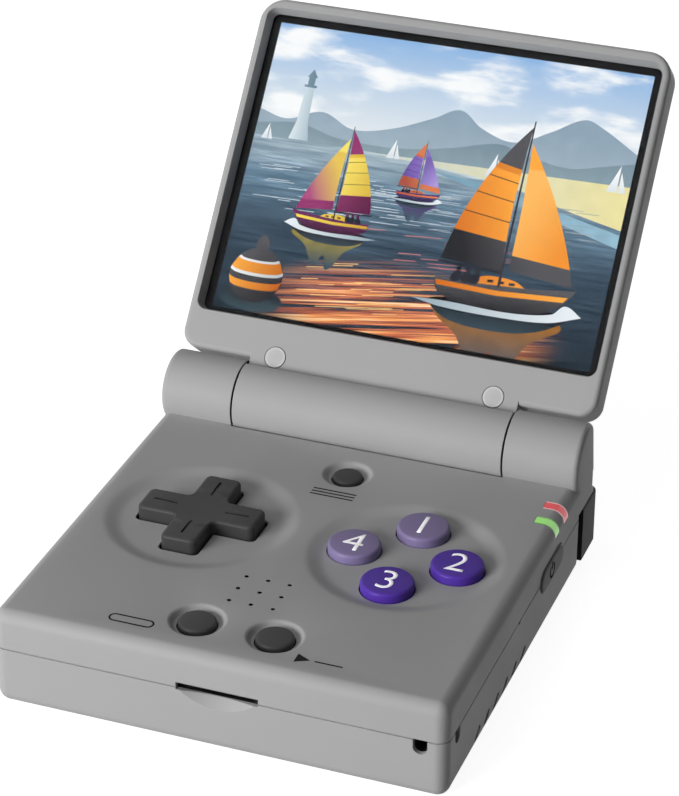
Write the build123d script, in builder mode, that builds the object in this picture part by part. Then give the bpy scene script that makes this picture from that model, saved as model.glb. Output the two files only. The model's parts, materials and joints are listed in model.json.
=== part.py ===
from build123d import *
import os
from math import cos, radians, sin, sqrt, tan

# Clamshell handheld game console, lid open.
# Frame: millimetres, X to the player's right, Y towards the hinge, Z up.
# The origin is the middle of the base's underside.

# ---- base -------------------------------------------------------------------
base_width = 85.0
base_depth = 88.9
base_height = 19.3
top_shell_height = 7.5        # from the seam up to the top face
side_wall = 1.8
floor_wall = 1.8
top_wall = 2.0
corner_radius = 2.4           # rounding of the base's upright edges
edge_radius = 2.4             # rounding of the base's top and bottom edges
seam_groove = 0.25

# ---- hinge ------------------------------------------------------------------
hinge_inset = 6.25            # barrel axis ahead of the rear face
hinge_rise = 2.9              # barrel axis above the base's top face
barrel_radius = 7.2
barrel_wall = 1.4
barrel_length = 54.8          # the lid's middle barrel
barrel_gap = 0.35             # between the middle barrel and each end block
saddle_gap = 0.45             # between the middle barrel and the base under it
saddle_wall = 1.2
cavity_rear_wall = 0.4        # thinnest wall between the hollow and the saddle
block_edge_radius = 1.1       # rounding of the end blocks' outer edge
block_lean = 9.1              # degrees, the end blocks' back from upright
block_back_radius = 2.5       # where that back meets the top of the barrel
block_front = 4.3             # front of the block's foot, ahead of the axis
module_length = 15.2
module_clearance = 0.05
pin_radius = 2.0
pin_clearance = 0.05
pin_root_radius = 3.0
pin_root_length = 8.0
pin_grip = 13.0               # length of pin inside the hinge module
press_clearance = 0.02

# ---- lid --------------------------------------------------------------------
lid_angle = 130.0             # how far the lid stands open
lid_reach = 80.6              # barrel axis to the lid's free edge
lid_thickness = 8.0
lid_gap = 0.25                # between the closed lid and the base
lid_corner_radius = 5.0
heel_corner_radius = 3.5
lid_front_radius = 1.0
lid_back_radius = 2.2
heel_clearance = 0.4          # between the lid's lower edge and the end blocks
cover_wall = 1.5
window_side = 2.1             # lid's side edge to the window
window_height = 62.0
window_start = 15.9           # barrel axis to the window's lower edge
window_corner_radius = 1.4
window_flare = 13.0           # degrees, slope of the window's walls
glass_recess = 2.6
glass_ledge = 0.8
glass_thickness = 0.9
panel_thickness = 2.0
panel_margin = 1.0
bumper_radius = 2.15
bumper_spacing = 44.7
bumper_start = 8.25           # barrel axis to the bumpers
brow_start = 5.8              # barrel axis to where the lid's flat face ends on the barrel
heel_depth = 4.8              # solid strip along the lid's lower edge
bumper_depth = 1.0
bumper_rise = 0.12
lid_screw_head_radius = 1.7
lid_screw_head_height = 1.1
lid_screw_radius = 0.8
flex_width = 9.0
flex_thickness = 0.3
flex_turn_radius = 2.4

# ---- controls on the top face -----------------------------------------------
pad_inset = 22.5              # side face to the middle of the pad and of the button group
pad_setback = 42.6            # front face to the middle of the pad
dish_radius = 18.8
dish_floor_radius = 14.6
dish_depth = 0.9
button_pitch = 9.9            # group centre to each face button
button_radius = 4.9
button_rise = 1.1
button_travel = 1.0
button_clearance = 0.2
button_edge_radius = 0.6
cap_crown = 0.15
flange_overhang = 1.0
flange_thickness = 0.9
flange_gap = 0.1
pad_span = 23.2
pad_arm = 7.1
pad_armpit_radius = 1.1       # where two arms meet
pad_rise = 1.9
pad_clearance = 0.42
pad_tilt = 3.2                # degrees, each way
pad_pivot_depth = 2.2         # below the dish floor
pad_flange_radius = 12.9
pad_hole_radius = 1.2         # inner corners' radius of the cross-shaped hole's ends
pad_tip_radius = 1.3
pad_edge_radius = 0.7
pad_hollow = 0.3              # depth of the thumb hollow
groove_middle = 7.1           # pad centre to the middle of each arm's groove
groove_length = 4.8
groove_width = 0.55
groove_depth = 0.35
pivot_radius = 1.5
pivot_crown_rise = 0.8        # pivot's tip above its centre
pivot_foot_drop = 2.1
menu_setback = 22.45          # rear face to the menu button
menu_radius = 2.9
menu_dish_radius = 5.2
menu_drop = 0.1
option_setback = 10.25        # front face to the two option buttons
option_spacing = 14.6
option_radius = 3.5
option_dish_radius = 5.5
option_rise = 0.1
option_travel = 0.6
small_dish_depth = 1.2
small_dish_land = 0.35        # flat ring left round each small button

# ---- side controls ----------------------------------------------------------
power_setback = 28.7          # rear face to the side buttons' middle
power_length = 13.5
power_height = 4.5
power_proud = 0.4
side_control_drop = 0.3       # side buttons' middle below the seam
side_clearance = 0.25
rocker_clearance = 0.22
power_travel = 0.4
power_edge_radius = 0.35
power_nib_radius = 0.9
rocker_length = 16.0
rocker_height = 4.0
rocker_proud = 0.6
rocker_waist = 0.35
rocker_waist_radius = 12.0
rocker_flange_gap = 0.6
rocker_edge_radius = 0.4
rocker_rib = 1.0              # thickness of the rib it rocks on
rocker_rib_height = 3.0
reset_setback = 48.15
reset_radius = 0.5
side_flange = 0.7
side_flange_thickness = 0.8
switch_depth = 2.2
switch_width = 4.0
switch_height = 2.6
rocker_switch_offset = 5.0    # rocker's middle to each of its switches
nib_radius = 0.6
nib_length = 0.3

# ---- shoulder buttons -------------------------------------------------------
bay_inner_x = 14.0
bay_depth = 11.0              # from the rear face forwards
bay_rise = 0.9                # bay's roof above the seam
bay_wall = 1.6
shoulder_front_gap = 3.4
shoulder_proud = 1.9
shoulder_side_gap = 0.6
shoulder_foot = 0.35          # lower edge above the ground
shoulder_head_gap = 0.35
shoulder_press = 6.0          # degrees
shoulder_switch_reach = 1.95  # switch body out from the bay's front wall
shoulder_switch_inset = 4.5   # switch from the button's outer end
shoulder_switch_height = 3.0
shoulder_nib_radius = 0.8
shoulder_corner_radius = 1.3
shoulder_edge_radius = 0.9
shoulder_pin_radius = 0.8
shoulder_pin_inset = 2.2      # pin from the button's inner end
shoulder_pin_back = 6.0       # pin from the bay's front wall
shoulder_pin_anchor = 1.6
lug_radius = 2.0
lug_bottom = 0.7
lug_height = 2.3
lug_clearance = 0.3

# ---- ports and openings -----------------------------------------------------
slot_x = 0.45
slot_width = 15.4
slot_height = 1.5
slot_rise = 0.15              # slot's middle above the seam
scoop_drop = 2.5              # height of the thumb scoop under the card slot
scoop_rim_radius = 11.15
scoop_ball_radius = 35.0
strap_inset = 4.85            # side face to the strap hole at the front
strap_setback = 5.65          # front face to the strap hole at the side
strap_width = 2.6
strap_height = 2.9
strap_drop = 0.05
vent_count = 6
vent_pitch = 5.3
vent_setback = 45.45          # rear face to the first vent
vent_z = 3.0
vent_length = 3.4
vent_width = 0.9
vent_slant = 30.0
speaker_x = -0.3
speaker_setback = 22.2        # front face to the speaker
speaker_radius = 7.5
speaker_height = 3.3
speaker_pitch = 4.15
speaker_hole_radius = 0.4
light_width = 2.6
light_thickness = 1.3
light_leg = 0.8               # thickness of the leg down to the light
light_start = 4.3             # inner end, in from the side face
light_drop = 2.5              # lower end, down from the top face
light_setback = 22.8          # rear face to midway between the two
light_spacing = 5.6
jack_setback = 52.45
jack_recess = 0.1
jack_bore_radius = 1.8
jack_bore_length = 12.0
jack_nose_radius = 2.7
jack_width = 6.2
jack_height = 5.0
jack_length = 13.4
usb_width = 8.9
usb_height = 3.2
usb_length = 7.3
usb_wall = 0.3
usb_recess = 0.3
usb_back_wall = 0.8
usb_tongue_margin = 1.2
usb_tongue_thickness = 0.7
port_clearance = 0.12

# ---- inner parts ------------------------------------------------------------
board_rise = 0.4              # underside of the main board above the seam
board_thickness = 0.8
board_margin = 2.2            # board edge in from the shell's inner wall
membrane_thickness = 0.6
dome_clearance = 0.2
dome_radius = 2.4
large_dome_radius = 3.2       # under the face buttons
pad_dome_spot = 8.0           # pad centre to each dome under it
pad_sheet_margin = 0.7
membrane_margin = 3.5
membrane_corner_radius = 3.0
pivot_pad_margin = 0.8
menu_sheet_margin = 1.4
speaker_collar = 1.0
battery_margin = 16.5         # side face to the battery
battery_length = 54.0
battery_height = 6.4
battery_setback = 39.45       # front face to the battery's middle
tray_rib = 1.2
tray_height = 3.5
socket_width = 14.4
socket_length = 15.0
socket_height = 1.4
shield_width = 22.0
shield_length = 18.0
shield_height = 1.7
seat_gap = 0.1                # air between a loose inner part and its seat
boss_radius = 2.5
screw_radius = 0.95
screw_head_radius = 1.9
screw_head_height = 1.3
screw_recess = 1.9
screw_tip_cover = 1.3         # top wall's underside to the tip of a case screw
front_screw_inset = 7.7
front_screw_setback = 9.95
rear_screw_inset = 4.7
rear_screw_setback = 16.05
board_boss_radius = 1.8
board_screw_radius = 0.75
board_screw_head_radius = 1.5
board_screw_head_height = 0.8
board_screw_tip_cover = 1.7
board_screw_inset = 3.5       # board's side edge to the front board screws
board_screw_setback = 22.45
middle_board_screw_setback = 38.45

# ---- derived places ---------------------------------------------------------
side_x = base_width / 2
rear_y = base_depth / 2
front_y = -rear_y
seam_height = base_height - top_shell_height # where the two base shells meet
ceiling = base_height - top_wall             # underside of the top wall
bay_height = seam_height + bay_rise
hinge_y = rear_y - hinge_inset
hinge_z = base_height + hinge_rise
block_x = barrel_length / 2 + barrel_gap     # inner end of each end block
saddle_radius = barrel_radius + saddle_gap
board_bottom = seam_height + board_rise
board_top = board_bottom + board_thickness
screw_tip = ceiling - screw_tip_cover
board_screw_tip = ceiling - board_screw_tip_cover
dish_floor = base_height - dish_depth
side_control_z = seam_height - side_control_drop
bay_front_y = rear_y - bay_depth
bay_middle_x = (bay_inner_x + side_x) / 2
pad_spacing = base_width - 2 * pad_inset
battery_width = base_width - 2 * battery_margin
pad_y = front_y + pad_setback
menu_y = rear_y - menu_setback
option_y = front_y + option_setback
speaker_y = front_y + speaker_setback
battery_y = front_y + battery_setback
power_y = rear_y - power_setback
reset_y = rear_y - reset_setback
vent_first_y = rear_y - vent_setback
jack_y = rear_y - jack_setback
light_middle_y = rear_y - light_setback
strap_x = side_x - strap_inset
strap_side_y = front_y + strap_setback
option_points = [(-option_spacing / 2, option_y), (option_spacing / 2, option_y)]
button_names = ["right", "top", "left", "bottom"]
button_points = [
    (pad_spacing / 2 + button_pitch * cos(radians(a)), pad_y + button_pitch * sin(radians(a)))
    for a in (0, 90, 180, 270)
]
inner_wall_x = side_x - side_wall
board_edge_x = inner_wall_x - board_margin
screw_points = [
    (side * (inner_wall_x - inset), y)
    for inset, y in ((front_screw_inset, front_y + front_screw_setback),
                     (rear_screw_inset, rear_y - rear_screw_setback))
    for side in (-1, 1)
]
board_screw_points = [
    (board_screw_inset - board_edge_x, front_y + board_screw_setback),
    (board_edge_x - board_screw_inset, front_y + board_screw_setback),
    (0, rear_y - middle_board_screw_setback),
]
flange_top = ceiling - flange_gap
button_bottom = flange_top - flange_thickness
cavity_rear_y = hinge_y - saddle_radius - cavity_rear_wall
shoulder_front = bay_front_y + shoulder_front_gap
shoulder_rear = rear_y + shoulder_proud
shoulder_top = bay_height - shoulder_head_gap
pin_y = bay_front_y + shoulder_pin_back
bay_cells = {
    "inner": (bay_inner_x + shoulder_side_gap / 2, bay_middle_x - shoulder_side_gap / 2),
    "outer": (bay_middle_x + shoulder_side_gap / 2, side_x),
}
shoulder_pin_points = [(side * (x0 + shoulder_pin_inset), pin_y) for x0, x1 in bay_cells.values()
                       for side in (-1, 1)]

# The lid's own plane: origin on the barrel axis, its Y up the lid, its Z out of the screen.
lid_tilt = radians(lid_angle - 90)
lid_plane = Plane(
    origin=(0, hinge_y, hinge_z), x_dir=(1, 0, 0), z_dir=(0, -cos(lid_tilt), sin(lid_tilt))
)
lid_face = hinge_rise - lid_gap              # heights along the lid plane's Z
lid_back = lid_face - lid_thickness
glass_face = lid_face - glass_recess
glass_back = glass_face - glass_thickness
lid_seam = glass_back                        # where the lid's two shells meet
bezel_depth = lid_face - lid_seam
window_width = base_width - 2 * window_side
heel_start = barrel_radius + heel_clearance
window_middle = window_start + window_height / 2
bumper_points = [(-bumper_spacing / 2, bumper_start), (bumper_spacing / 2, bumper_start)]
# A plane across the lid: its X runs up the lid and its Z along the barrel axis.
lid_section = Plane(
    origin=(0, hinge_y, hinge_z), x_dir=(0, sin(lid_tilt), cos(lid_tilt)), z_dir=(1, 0, 0)
)


# ---- shared outlines --------------------------------------------------------
with BuildSketch() as base_plan:
    Rectangle(base_width, base_depth)
    fillet(base_plan.vertices(), corner_radius)

with BuildSketch() as lid_plan:
    with Locations((0, (heel_start + lid_reach) / 2)):
        Rectangle(base_width, lid_reach - heel_start)
    fillet(lid_plan.vertices().group_by(Axis.Y)[-1], lid_corner_radius)
    fillet(lid_plan.vertices().group_by(Axis.Y)[0], heel_corner_radius)


def dish(x, y, rim_radius, floor_radius, depth):
    """Sink a round dish with a soft S-shaped wall into the top face of the part being built."""
    with BuildSketch(Plane.XZ.offset(-y)) as profile:
        with BuildLine():
            Spline(
                (x + rim_radius, base_height),
                (x + floor_radius, base_height - depth),
                tangents=[(-1, 0), (-1, 0)],
            )
            Polyline(
                (x + floor_radius, base_height - depth),
                (x, base_height - depth),
                (x, base_height + 1),
                (x + rim_radius, base_height + 1),
                (x + rim_radius, base_height),
            )
        make_face()
    revolve(profile.sketch, axis=Axis((x, y, 0), (0, 0, 1)), mode=Mode.SUBTRACT)


def upright_box(x0, x1, y0, y1, z0, z1, mode=Mode.ADD):
    """Add or cut a box given by its corners."""
    with Locations(((x0 + x1) / 2, (y0 + y1) / 2, (z0 + z1) / 2)):
        Box(abs(x1 - x0), abs(y1 - y0), abs(z1 - z0), mode=mode)


def cut_shell_openings():
    """Cut the openings that the seam runs through, alike in both base shells."""
    reach = 2 * side_wall
    for x, length, height, grow in ((side_x, power_length, power_height, 2 * side_clearance),
                                    (-side_x, rocker_length, rocker_height, 2 * rocker_clearance)):
        with BuildSketch(Plane.YZ.offset(x - reach)) as oval:
            with Locations((power_y, side_control_z)):
                SlotOverall(length + grow, height + grow)
        extrude(oval.sketch, amount=2 * reach, mode=Mode.SUBTRACT)
    slot_z = seam_height + slot_rise
    upright_box(slot_x - slot_width / 2, slot_x + slot_width / 2, front_y - 1, front_y + 2 * side_wall,
                slot_z - slot_height / 2, slot_z + slot_height / 2, Mode.SUBTRACT)
    with BuildSketch(Plane.XZ.offset(-rear_y - 1)) as usb_hole:
        with Locations((0, board_bottom - usb_height / 2)):
            SlotOverall(usb_width + 2 * port_clearance, usb_height + 2 * port_clearance)
    extrude(usb_hole.sketch, amount=2 * side_wall, mode=Mode.SUBTRACT)
    with BuildSketch(Plane.YZ.offset(-side_x - side_wall)) as jack_hole:
        with Locations((jack_y, board_bottom - jack_height / 2)):
            Circle(jack_nose_radius)
    extrude(jack_hole.sketch, amount=4 * side_wall, mode=Mode.SUBTRACT)


# ---- base top shell ---------------------------------------------------------
# One end block of the hinge: a barrel end with a leaning back that runs down into the base's corner.
with BuildPart() as end_block:
    lean = tan(radians(block_lean))
    crest_z = hinge_z + barrel_radius
    with BuildSketch(Plane.YZ.offset(block_x)) as block_profile:
        with Locations((hinge_y, hinge_z)):
            Circle(barrel_radius)
        with BuildLine():
            Polyline(
                (hinge_y - block_front, hinge_z),
                (hinge_y, hinge_z),
                (rear_y, bay_height),
                (hinge_y - block_front, bay_height),
                close=True,
            )
        make_face()
        with BuildLine():
            Polyline(
                (rear_y, bay_height),
                (rear_y - lean * (crest_z - bay_height), crest_z),
                (rear_y + barrel_radius, crest_z),
                (rear_y + barrel_radius, bay_height),
                close=True,
            )
        make_face(mode=Mode.SUBTRACT)
        fillet(block_profile.vertices().group_by(Axis.Y)[-1], block_back_radius)
    extrude(amount=side_x - block_x)
    outer_edges = end_block.faces().sort_by(Axis.X)[-1].edges()
    fillet(outer_edges.filter_by(lambda e: e.center().Z > bay_height + 1
                                 and e.center().Y > hinge_y - block_front + 0.1),
           block_edge_radius)

with BuildPart() as base_top_shell:
    with BuildSketch(Plane.XY.offset(seam_height)):
        add(base_plan.sketch)
    extrude(amount=base_height - seam_height)
    fillet(base_top_shell.faces().sort_by(Axis.Z)[-1].edges(), edge_radius)
    add(end_block.part)
    mirror(about=Plane.YZ)
    # Saddle for the lid's barrel, and the space behind it
    with BuildSketch(Plane.YZ.offset(-block_x)):
        with Locations((hinge_y, hinge_z)):
            Circle(saddle_radius)
            Rectangle(4 * saddle_radius, 2 * saddle_radius, align=(Align.MIN, Align.CENTER))
    extrude(amount=2 * block_x, mode=Mode.SUBTRACT)
    # Hollow underneath: the main space, and a low one under the saddle
    with BuildSketch(Plane.XY.offset(seam_height)):
        add(base_plan.sketch)
        offset(amount=-side_wall, mode=Mode.REPLACE)
        with Locations((0, cavity_rear_y)):
            Rectangle(2 * base_width, base_depth, align=(Align.CENTER, Align.MIN), mode=Mode.SUBTRACT)
    extrude(amount=ceiling - seam_height, mode=Mode.SUBTRACT)
    upright_box(-bay_inner_x + bay_wall, bay_inner_x - bay_wall, cavity_rear_y - 0.5, rear_y - side_wall,
                seam_height, hinge_z - saddle_radius - saddle_wall, Mode.SUBTRACT)
    # Bays of the shoulder buttons
    for side in (-1, 1):
        upright_box(side * bay_inner_x, side * (side_x + 1), bay_front_y, rear_y + 2,
                    seam_height - 1, bay_height, Mode.SUBTRACT)
    # Dishes and holes of the controls
    for side in (-1, 1):
        dish(side * pad_spacing / 2, pad_y, dish_radius, dish_floor_radius, dish_depth)
    dish(0, menu_y, menu_dish_radius, menu_radius + small_dish_land, small_dish_depth)
    for x, y in option_points:
        dish(x, y, option_dish_radius, option_radius + small_dish_land, small_dish_depth)
    with BuildSketch(Plane.XY.offset(ceiling - 1)):
        with Locations(*button_points):
            Circle(button_radius + button_clearance)
        with Locations((0, menu_y)):
            Circle(menu_radius + button_clearance)
        with Locations(*option_points):
            Circle(option_radius + button_clearance)
        with Locations((-pad_spacing / 2, pad_y)):
            for turn in (0, 90):
                RectangleRounded(pad_span + 2 * pad_clearance, pad_arm + 2 * pad_clearance,
                                 pad_hole_radius, rotation=turn)
        with Locations((speaker_x, speaker_y)):
            with GridLocations(speaker_pitch, speaker_pitch, 3, 3):
                Circle(speaker_hole_radius)
    extrude(amount=top_wall + 2, mode=Mode.SUBTRACT)
    # Bosses for the case screws and the board screws, and the speaker's collar
    with BuildSketch(Plane.XY.offset(seam_height)):
        with Locations(*screw_points):
            Circle(boss_radius)
    extrude(amount=ceiling - seam_height)
    with BuildSketch(Plane.XY.offset(board_top)):
        with Locations(*board_screw_points):
            Circle(board_boss_radius)
    extrude(amount=ceiling - board_top)
    with BuildSketch(Plane.XY.offset(ceiling)):
        with Locations((speaker_x, speaker_y)):
            Circle(speaker_radius + seat_gap + speaker_collar)
            Circle(speaker_radius + seat_gap, mode=Mode.SUBTRACT)
    extrude(amount=-speaker_height / 2)
    with Locations(*[(x, y, seam_height) for x, y in screw_points]):
        Cylinder(screw_radius + press_clearance, screw_tip + 0.4 - seam_height,
                 align=(Align.CENTER, Align.CENTER, Align.MIN), mode=Mode.SUBTRACT)
    with Locations(*[(x, y, board_top) for x, y in board_screw_points]):
        Cylinder(board_screw_radius + press_clearance, board_screw_tip + 0.4 - board_top,
                 align=(Align.CENTER, Align.CENTER, Align.MIN), mode=Mode.SUBTRACT)
    # Sockets of the hinge pins and the tops of the shoulder pins
    with BuildSketch(Plane.YZ.offset(-block_x - pin_root_length - 0.4)):
        with Locations((hinge_y, hinge_z)):
            Circle(pin_root_radius + press_clearance)
    extrude(amount=2 * (block_x + pin_root_length + 0.4), mode=Mode.SUBTRACT)
    with Locations(*[(x, y, bay_height) for x, y in shoulder_pin_points]):
        Cylinder(shoulder_pin_radius + press_clearance, shoulder_pin_anchor,
                 align=(Align.CENTER, Align.CENTER, Align.MIN), mode=Mode.SUBTRACT)
    # Slots of the light pipes over the right-hand edge
    for step in (-0.5, 0.5):
        middle = light_middle_y + step * light_spacing
        upright_box(side_x - light_start, side_x + 1, middle - light_width / 2, middle + light_width / 2,
                    base_height - light_drop, base_height + 1, Mode.SUBTRACT)
    cut_shell_openings()

# ---- base bottom shell ------------------------------------------------------
with BuildPart() as base_bottom_shell:
    with BuildSketch():
        add(base_plan.sketch)
    extrude(amount=seam_height)
    fillet(base_bottom_shell.faces().sort_by(Axis.Z)[0].edges(), edge_radius)
    # Shadow groove along the seam
    with BuildSketch(Plane.XY.offset(seam_height - seam_groove)):
        Rectangle(2 * base_width, 2 * base_depth)
        add(base_plan.sketch, mode=Mode.SUBTRACT)
        with BuildSketch(mode=Mode.PRIVATE) as groove_core:
            add(base_plan.sketch)
            offset(amount=-seam_groove, mode=Mode.REPLACE)
        add(base_plan.sketch)
        add(groove_core.sketch, mode=Mode.SUBTRACT)
    extrude(amount=seam_groove, mode=Mode.SUBTRACT)
    # Bays of the shoulder buttons, and the hollow inside
    for side in (-1, 1):
        upright_box(side * bay_inner_x, side * (side_x + 1), bay_front_y, rear_y + 2,
                    -1, seam_height + 1, Mode.SUBTRACT)
    with BuildSketch(Plane.XY.offset(floor_wall)):
        add(base_plan.sketch)
        offset(amount=-side_wall, mode=Mode.REPLACE)
        for side in (-1, 1):
            with Locations((side * (bay_inner_x - bay_wall), bay_front_y - bay_wall)):
                Rectangle(base_width, base_depth, mode=Mode.SUBTRACT,
                          align=(Align.MIN if side > 0 else Align.MAX, Align.MIN))
        # Solid corner round the strap hole
        with Locations((strap_x - strap_width / 2 - bay_wall, strap_side_y + strap_width / 2 + bay_wall)):
            Rectangle(base_width, base_depth, mode=Mode.SUBTRACT, align=(Align.MIN, Align.MAX))
    extrude(amount=seam_height, mode=Mode.SUBTRACT)
    # Screw bosses and the battery's tray
    with BuildSketch(Plane.XY.offset(floor_wall)):
        with Locations(*screw_points):
            Circle(boss_radius)
    extrude(amount=seam_height - floor_wall)
    with BuildSketch(Plane.XY.offset(floor_wall)):
        with Locations((0, battery_y)):
            Rectangle(battery_width + 2 * (tray_rib + seat_gap), battery_length + 2 * (tray_rib + seat_gap))
            Rectangle(battery_width + 2 * seat_gap, battery_length + 2 * seat_gap, mode=Mode.SUBTRACT)
            Rectangle(battery_width / 2, 2 * battery_length, mode=Mode.SUBTRACT)
    extrude(amount=tray_height)
    with Locations(*[(x, y, 0) for x, y in screw_points]):
        Cylinder(screw_head_radius + 0.2, screw_recess,
                 align=(Align.CENTER, Align.CENTER, Align.MIN), mode=Mode.SUBTRACT)
        Cylinder(screw_radius + 0.15, seam_height + 1,
                 align=(Align.CENTER, Align.CENTER, Align.MIN), mode=Mode.SUBTRACT)
    # Lugs that carry the lower ends of the shoulder pins
    with BuildSketch(Plane.XY.offset(lug_bottom)):
        with Locations(*shoulder_pin_points):
            Circle(lug_radius)
            Rectangle(2 * lug_radius, shoulder_pin_back + bay_wall / 2, align=(Align.CENTER, Align.MAX))
            Circle(shoulder_pin_radius + press_clearance, mode=Mode.SUBTRACT)
    extrude(amount=lug_height)
    # Strap hole: in at the front, out at the side
    for start, place, reach in (
        (Plane.XZ.offset(1 - front_y), strap_x, 1 + strap_setback + strap_width / 2),
        (Plane.YZ.offset(side_x + 1), strap_side_y, 1 + strap_inset + strap_width / 2),
    ):
        with BuildSketch(start):
            with Locations((place, seam_height - strap_drop)):
                Rectangle(strap_width, strap_height - strap_width / 2, align=(Align.CENTER, Align.MAX))
            with Locations((place, seam_height - strap_drop - strap_height + strap_width / 2)):
                Circle(strap_width / 2)
        extrude(amount=-reach, mode=Mode.SUBTRACT)
    # Vents along the right-hand side
    with BuildSketch(Plane.YZ.offset(side_x - 2 * side_wall)):
        for index in range(vent_count):
            with Locations((vent_first_y - index * vent_pitch, vent_z)):
                SlotOverall(vent_length, vent_width, rotation=vent_slant)
    extrude(amount=4 * side_wall, mode=Mode.SUBTRACT)
    # Reset hole, and the thumb scoop under the card slot
    with BuildSketch(Plane.YZ.offset(side_x - 2 * side_wall)):
        with Locations((reset_y, side_control_z)):
            Circle(reset_radius)
    extrude(amount=4 * side_wall, mode=Mode.SUBTRACT)
    slot_bottom = seam_height + slot_rise - slot_height / 2
    ball_setback = sqrt(scoop_ball_radius ** 2 - scoop_rim_radius ** 2)
    with Locations((slot_x, front_y - ball_setback, slot_bottom - scoop_drop + scoop_rim_radius)):
        Sphere(scoop_ball_radius, mode=Mode.SUBTRACT)
    cut_shell_openings()

# ---- directional pad --------------------------------------------------------
pivot_z = dish_floor - pad_pivot_depth
pad_top = base_height + pad_rise
pad_x = -pad_spacing / 2
pivot_crown = pivot_z + pivot_crown_rise
pivot_foot = pivot_z - pivot_foot_drop

with BuildPart() as dpad:
    with BuildSketch(Plane.XY.offset(pivot_z - flange_thickness)):
        with Locations((pad_x, pad_y)):
            Circle(pad_flange_radius)
    extrude(amount=flange_thickness)
    with BuildSketch(Plane.XY.offset(pivot_z)) as cross:
        with Locations((pad_x, pad_y)):
            for turn in (0, 90):
                RectangleRounded(pad_span, pad_arm, pad_tip_radius, rotation=turn)
        fillet(cross.vertices().sort_by_distance((pad_x, pad_y, pivot_z))[:4], pad_armpit_radius)
    extrude(amount=pad_top - pivot_z)
    fillet(dpad.faces().sort_by(Axis.Z)[-1].edges(), pad_edge_radius)
    # Thumb hollow in the middle, a groove on each arm, and the socket of the pivot
    hollow_radius = (pad_arm ** 2 + pad_hollow ** 2) / (2 * pad_hollow)
    with Locations((pad_x, pad_y, pad_top + hollow_radius - pad_hollow)):
        Sphere(hollow_radius, mode=Mode.SUBTRACT)
    with BuildSketch(Plane.XY.offset(pad_top)):
        with Locations((pad_x, pad_y)):
            with PolarLocations(groove_middle, 4):
                SlotOverall(groove_length, groove_width)
    extrude(amount=-groove_depth, mode=Mode.SUBTRACT)
    with Locations((pad_x, pad_y, pivot_z - flange_thickness)):
        Cylinder(pivot_radius + 0.3, pivot_crown + 0.2 - pivot_z + flange_thickness,
                 align=(Align.CENTER, Align.CENTER, Align.MIN), mode=Mode.SUBTRACT)

with BuildPart() as dpad_pivot:
    with BuildSketch(Plane.XY.offset(pivot_foot)):
        with Locations((pad_x, pad_y)):
            Circle(pivot_radius)
    extrude(amount=pivot_crown - pivot_foot)
    fillet(dpad_pivot.faces().sort_by(Axis.Z)[-1].edges(), pivot_radius * 0.8)


# ---- round buttons ----------------------------------------------------------
def round_button(x, y, radius, top, edge):
    """A push button with a crowned cap and a flange that keeps it under the shell."""
    with BuildPart() as button:
        with BuildSketch(Plane.XZ.offset(-y)):
            with BuildLine():
                Polyline(
                    (x, top),
                    (x, button_bottom),
                    (x + radius + flange_overhang, button_bottom),
                    (x + radius + flange_overhang, flange_top),
                    (x + radius, flange_top),
                    (x + radius, top - edge - cap_crown),
                )
                ThreePointArc(
                    (x + radius, top - edge - cap_crown),
                    (x + radius - edge * (1 - sqrt(0.5)), top - edge * (1 - sqrt(0.5)) - cap_crown),
                    (x + radius - edge, top - cap_crown),
                )
                Spline(
                    (x + radius - edge, top - cap_crown), (x, top),
                    tangents=[(-1, 0.12), (-1, 0)],
                )
            make_face()
        revolve(axis=Axis((x, y, 0), (0, 0, 1)))
    return button


action_buttons = {
    name: round_button(x, y, button_radius, base_height + button_rise, button_edge_radius)
    for name, (x, y) in zip(button_names, button_points)
}
menu_button = round_button(0, menu_y, menu_radius, base_height - menu_drop, button_edge_radius)
select_button, start_button = [
    round_button(x, y, option_radius, base_height + option_rise, button_edge_radius)
    for x, y in option_points
]


# ---- side buttons -----------------------------------------------------------
with BuildPart() as power_button:
    flange_x = inner_wall_x - seat_gap
    with BuildSketch(Plane.YZ.offset(flange_x - side_flange_thickness)):
        with Locations((power_y, side_control_z)):
            SlotOverall(power_length + 2 * side_flange, power_height + 2 * side_flange)
    extrude(amount=side_flange_thickness)
    with BuildSketch(Plane.YZ.offset(flange_x)):
        with Locations((power_y, side_control_z)):
            SlotOverall(power_length, power_height)
    extrude(amount=side_x + power_proud - flange_x)
    fillet(power_button.faces().sort_by(Axis.X)[-1].edges(), power_edge_radius)
    # Nib that meets the switch
    nib_start = board_edge_x + nib_length + power_travel + 0.05
    with BuildSketch(Plane.YZ.offset(nib_start)):
        with Locations((power_y, side_control_z)):
            Circle(power_nib_radius)
    extrude(amount=flange_x - side_flange_thickness - nib_start)

with BuildPart() as volume_rocker:
    flange_x = -inner_wall_x + rocker_flange_gap
    with BuildSketch(Plane.YZ.offset(flange_x)):
        with Locations((power_y, side_control_z)):
            SlotOverall(rocker_length + 2 * side_flange, rocker_height + 2 * side_flange)
    extrude(amount=side_flange_thickness)
    with BuildSketch(Plane.YZ.offset(-side_x - rocker_proud)):
        with Locations((power_y, side_control_z)):
            SlotOverall(rocker_length, rocker_height)
    extrude(amount=flange_x + side_x + rocker_proud)
    fillet(volume_rocker.faces().sort_by(Axis.X)[0].edges(), rocker_edge_radius)
    # Shallow waist between the two ends, and the rib it rocks on
    with BuildSketch(Plane.XY.offset(side_control_z - rocker_height)):
        with Locations((-side_x - rocker_proud - rocker_waist_radius + rocker_waist, power_y)):
            Circle(rocker_waist_radius)
    extrude(amount=2 * rocker_height, mode=Mode.SUBTRACT)
    rib_start = flange_x + side_flange_thickness
    upright_box(rib_start, -board_edge_x - seat_gap, power_y - rocker_rib / 2, power_y + rocker_rib / 2,
                side_control_z - rocker_rib_height / 2, side_control_z + rocker_rib_height / 2)


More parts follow.
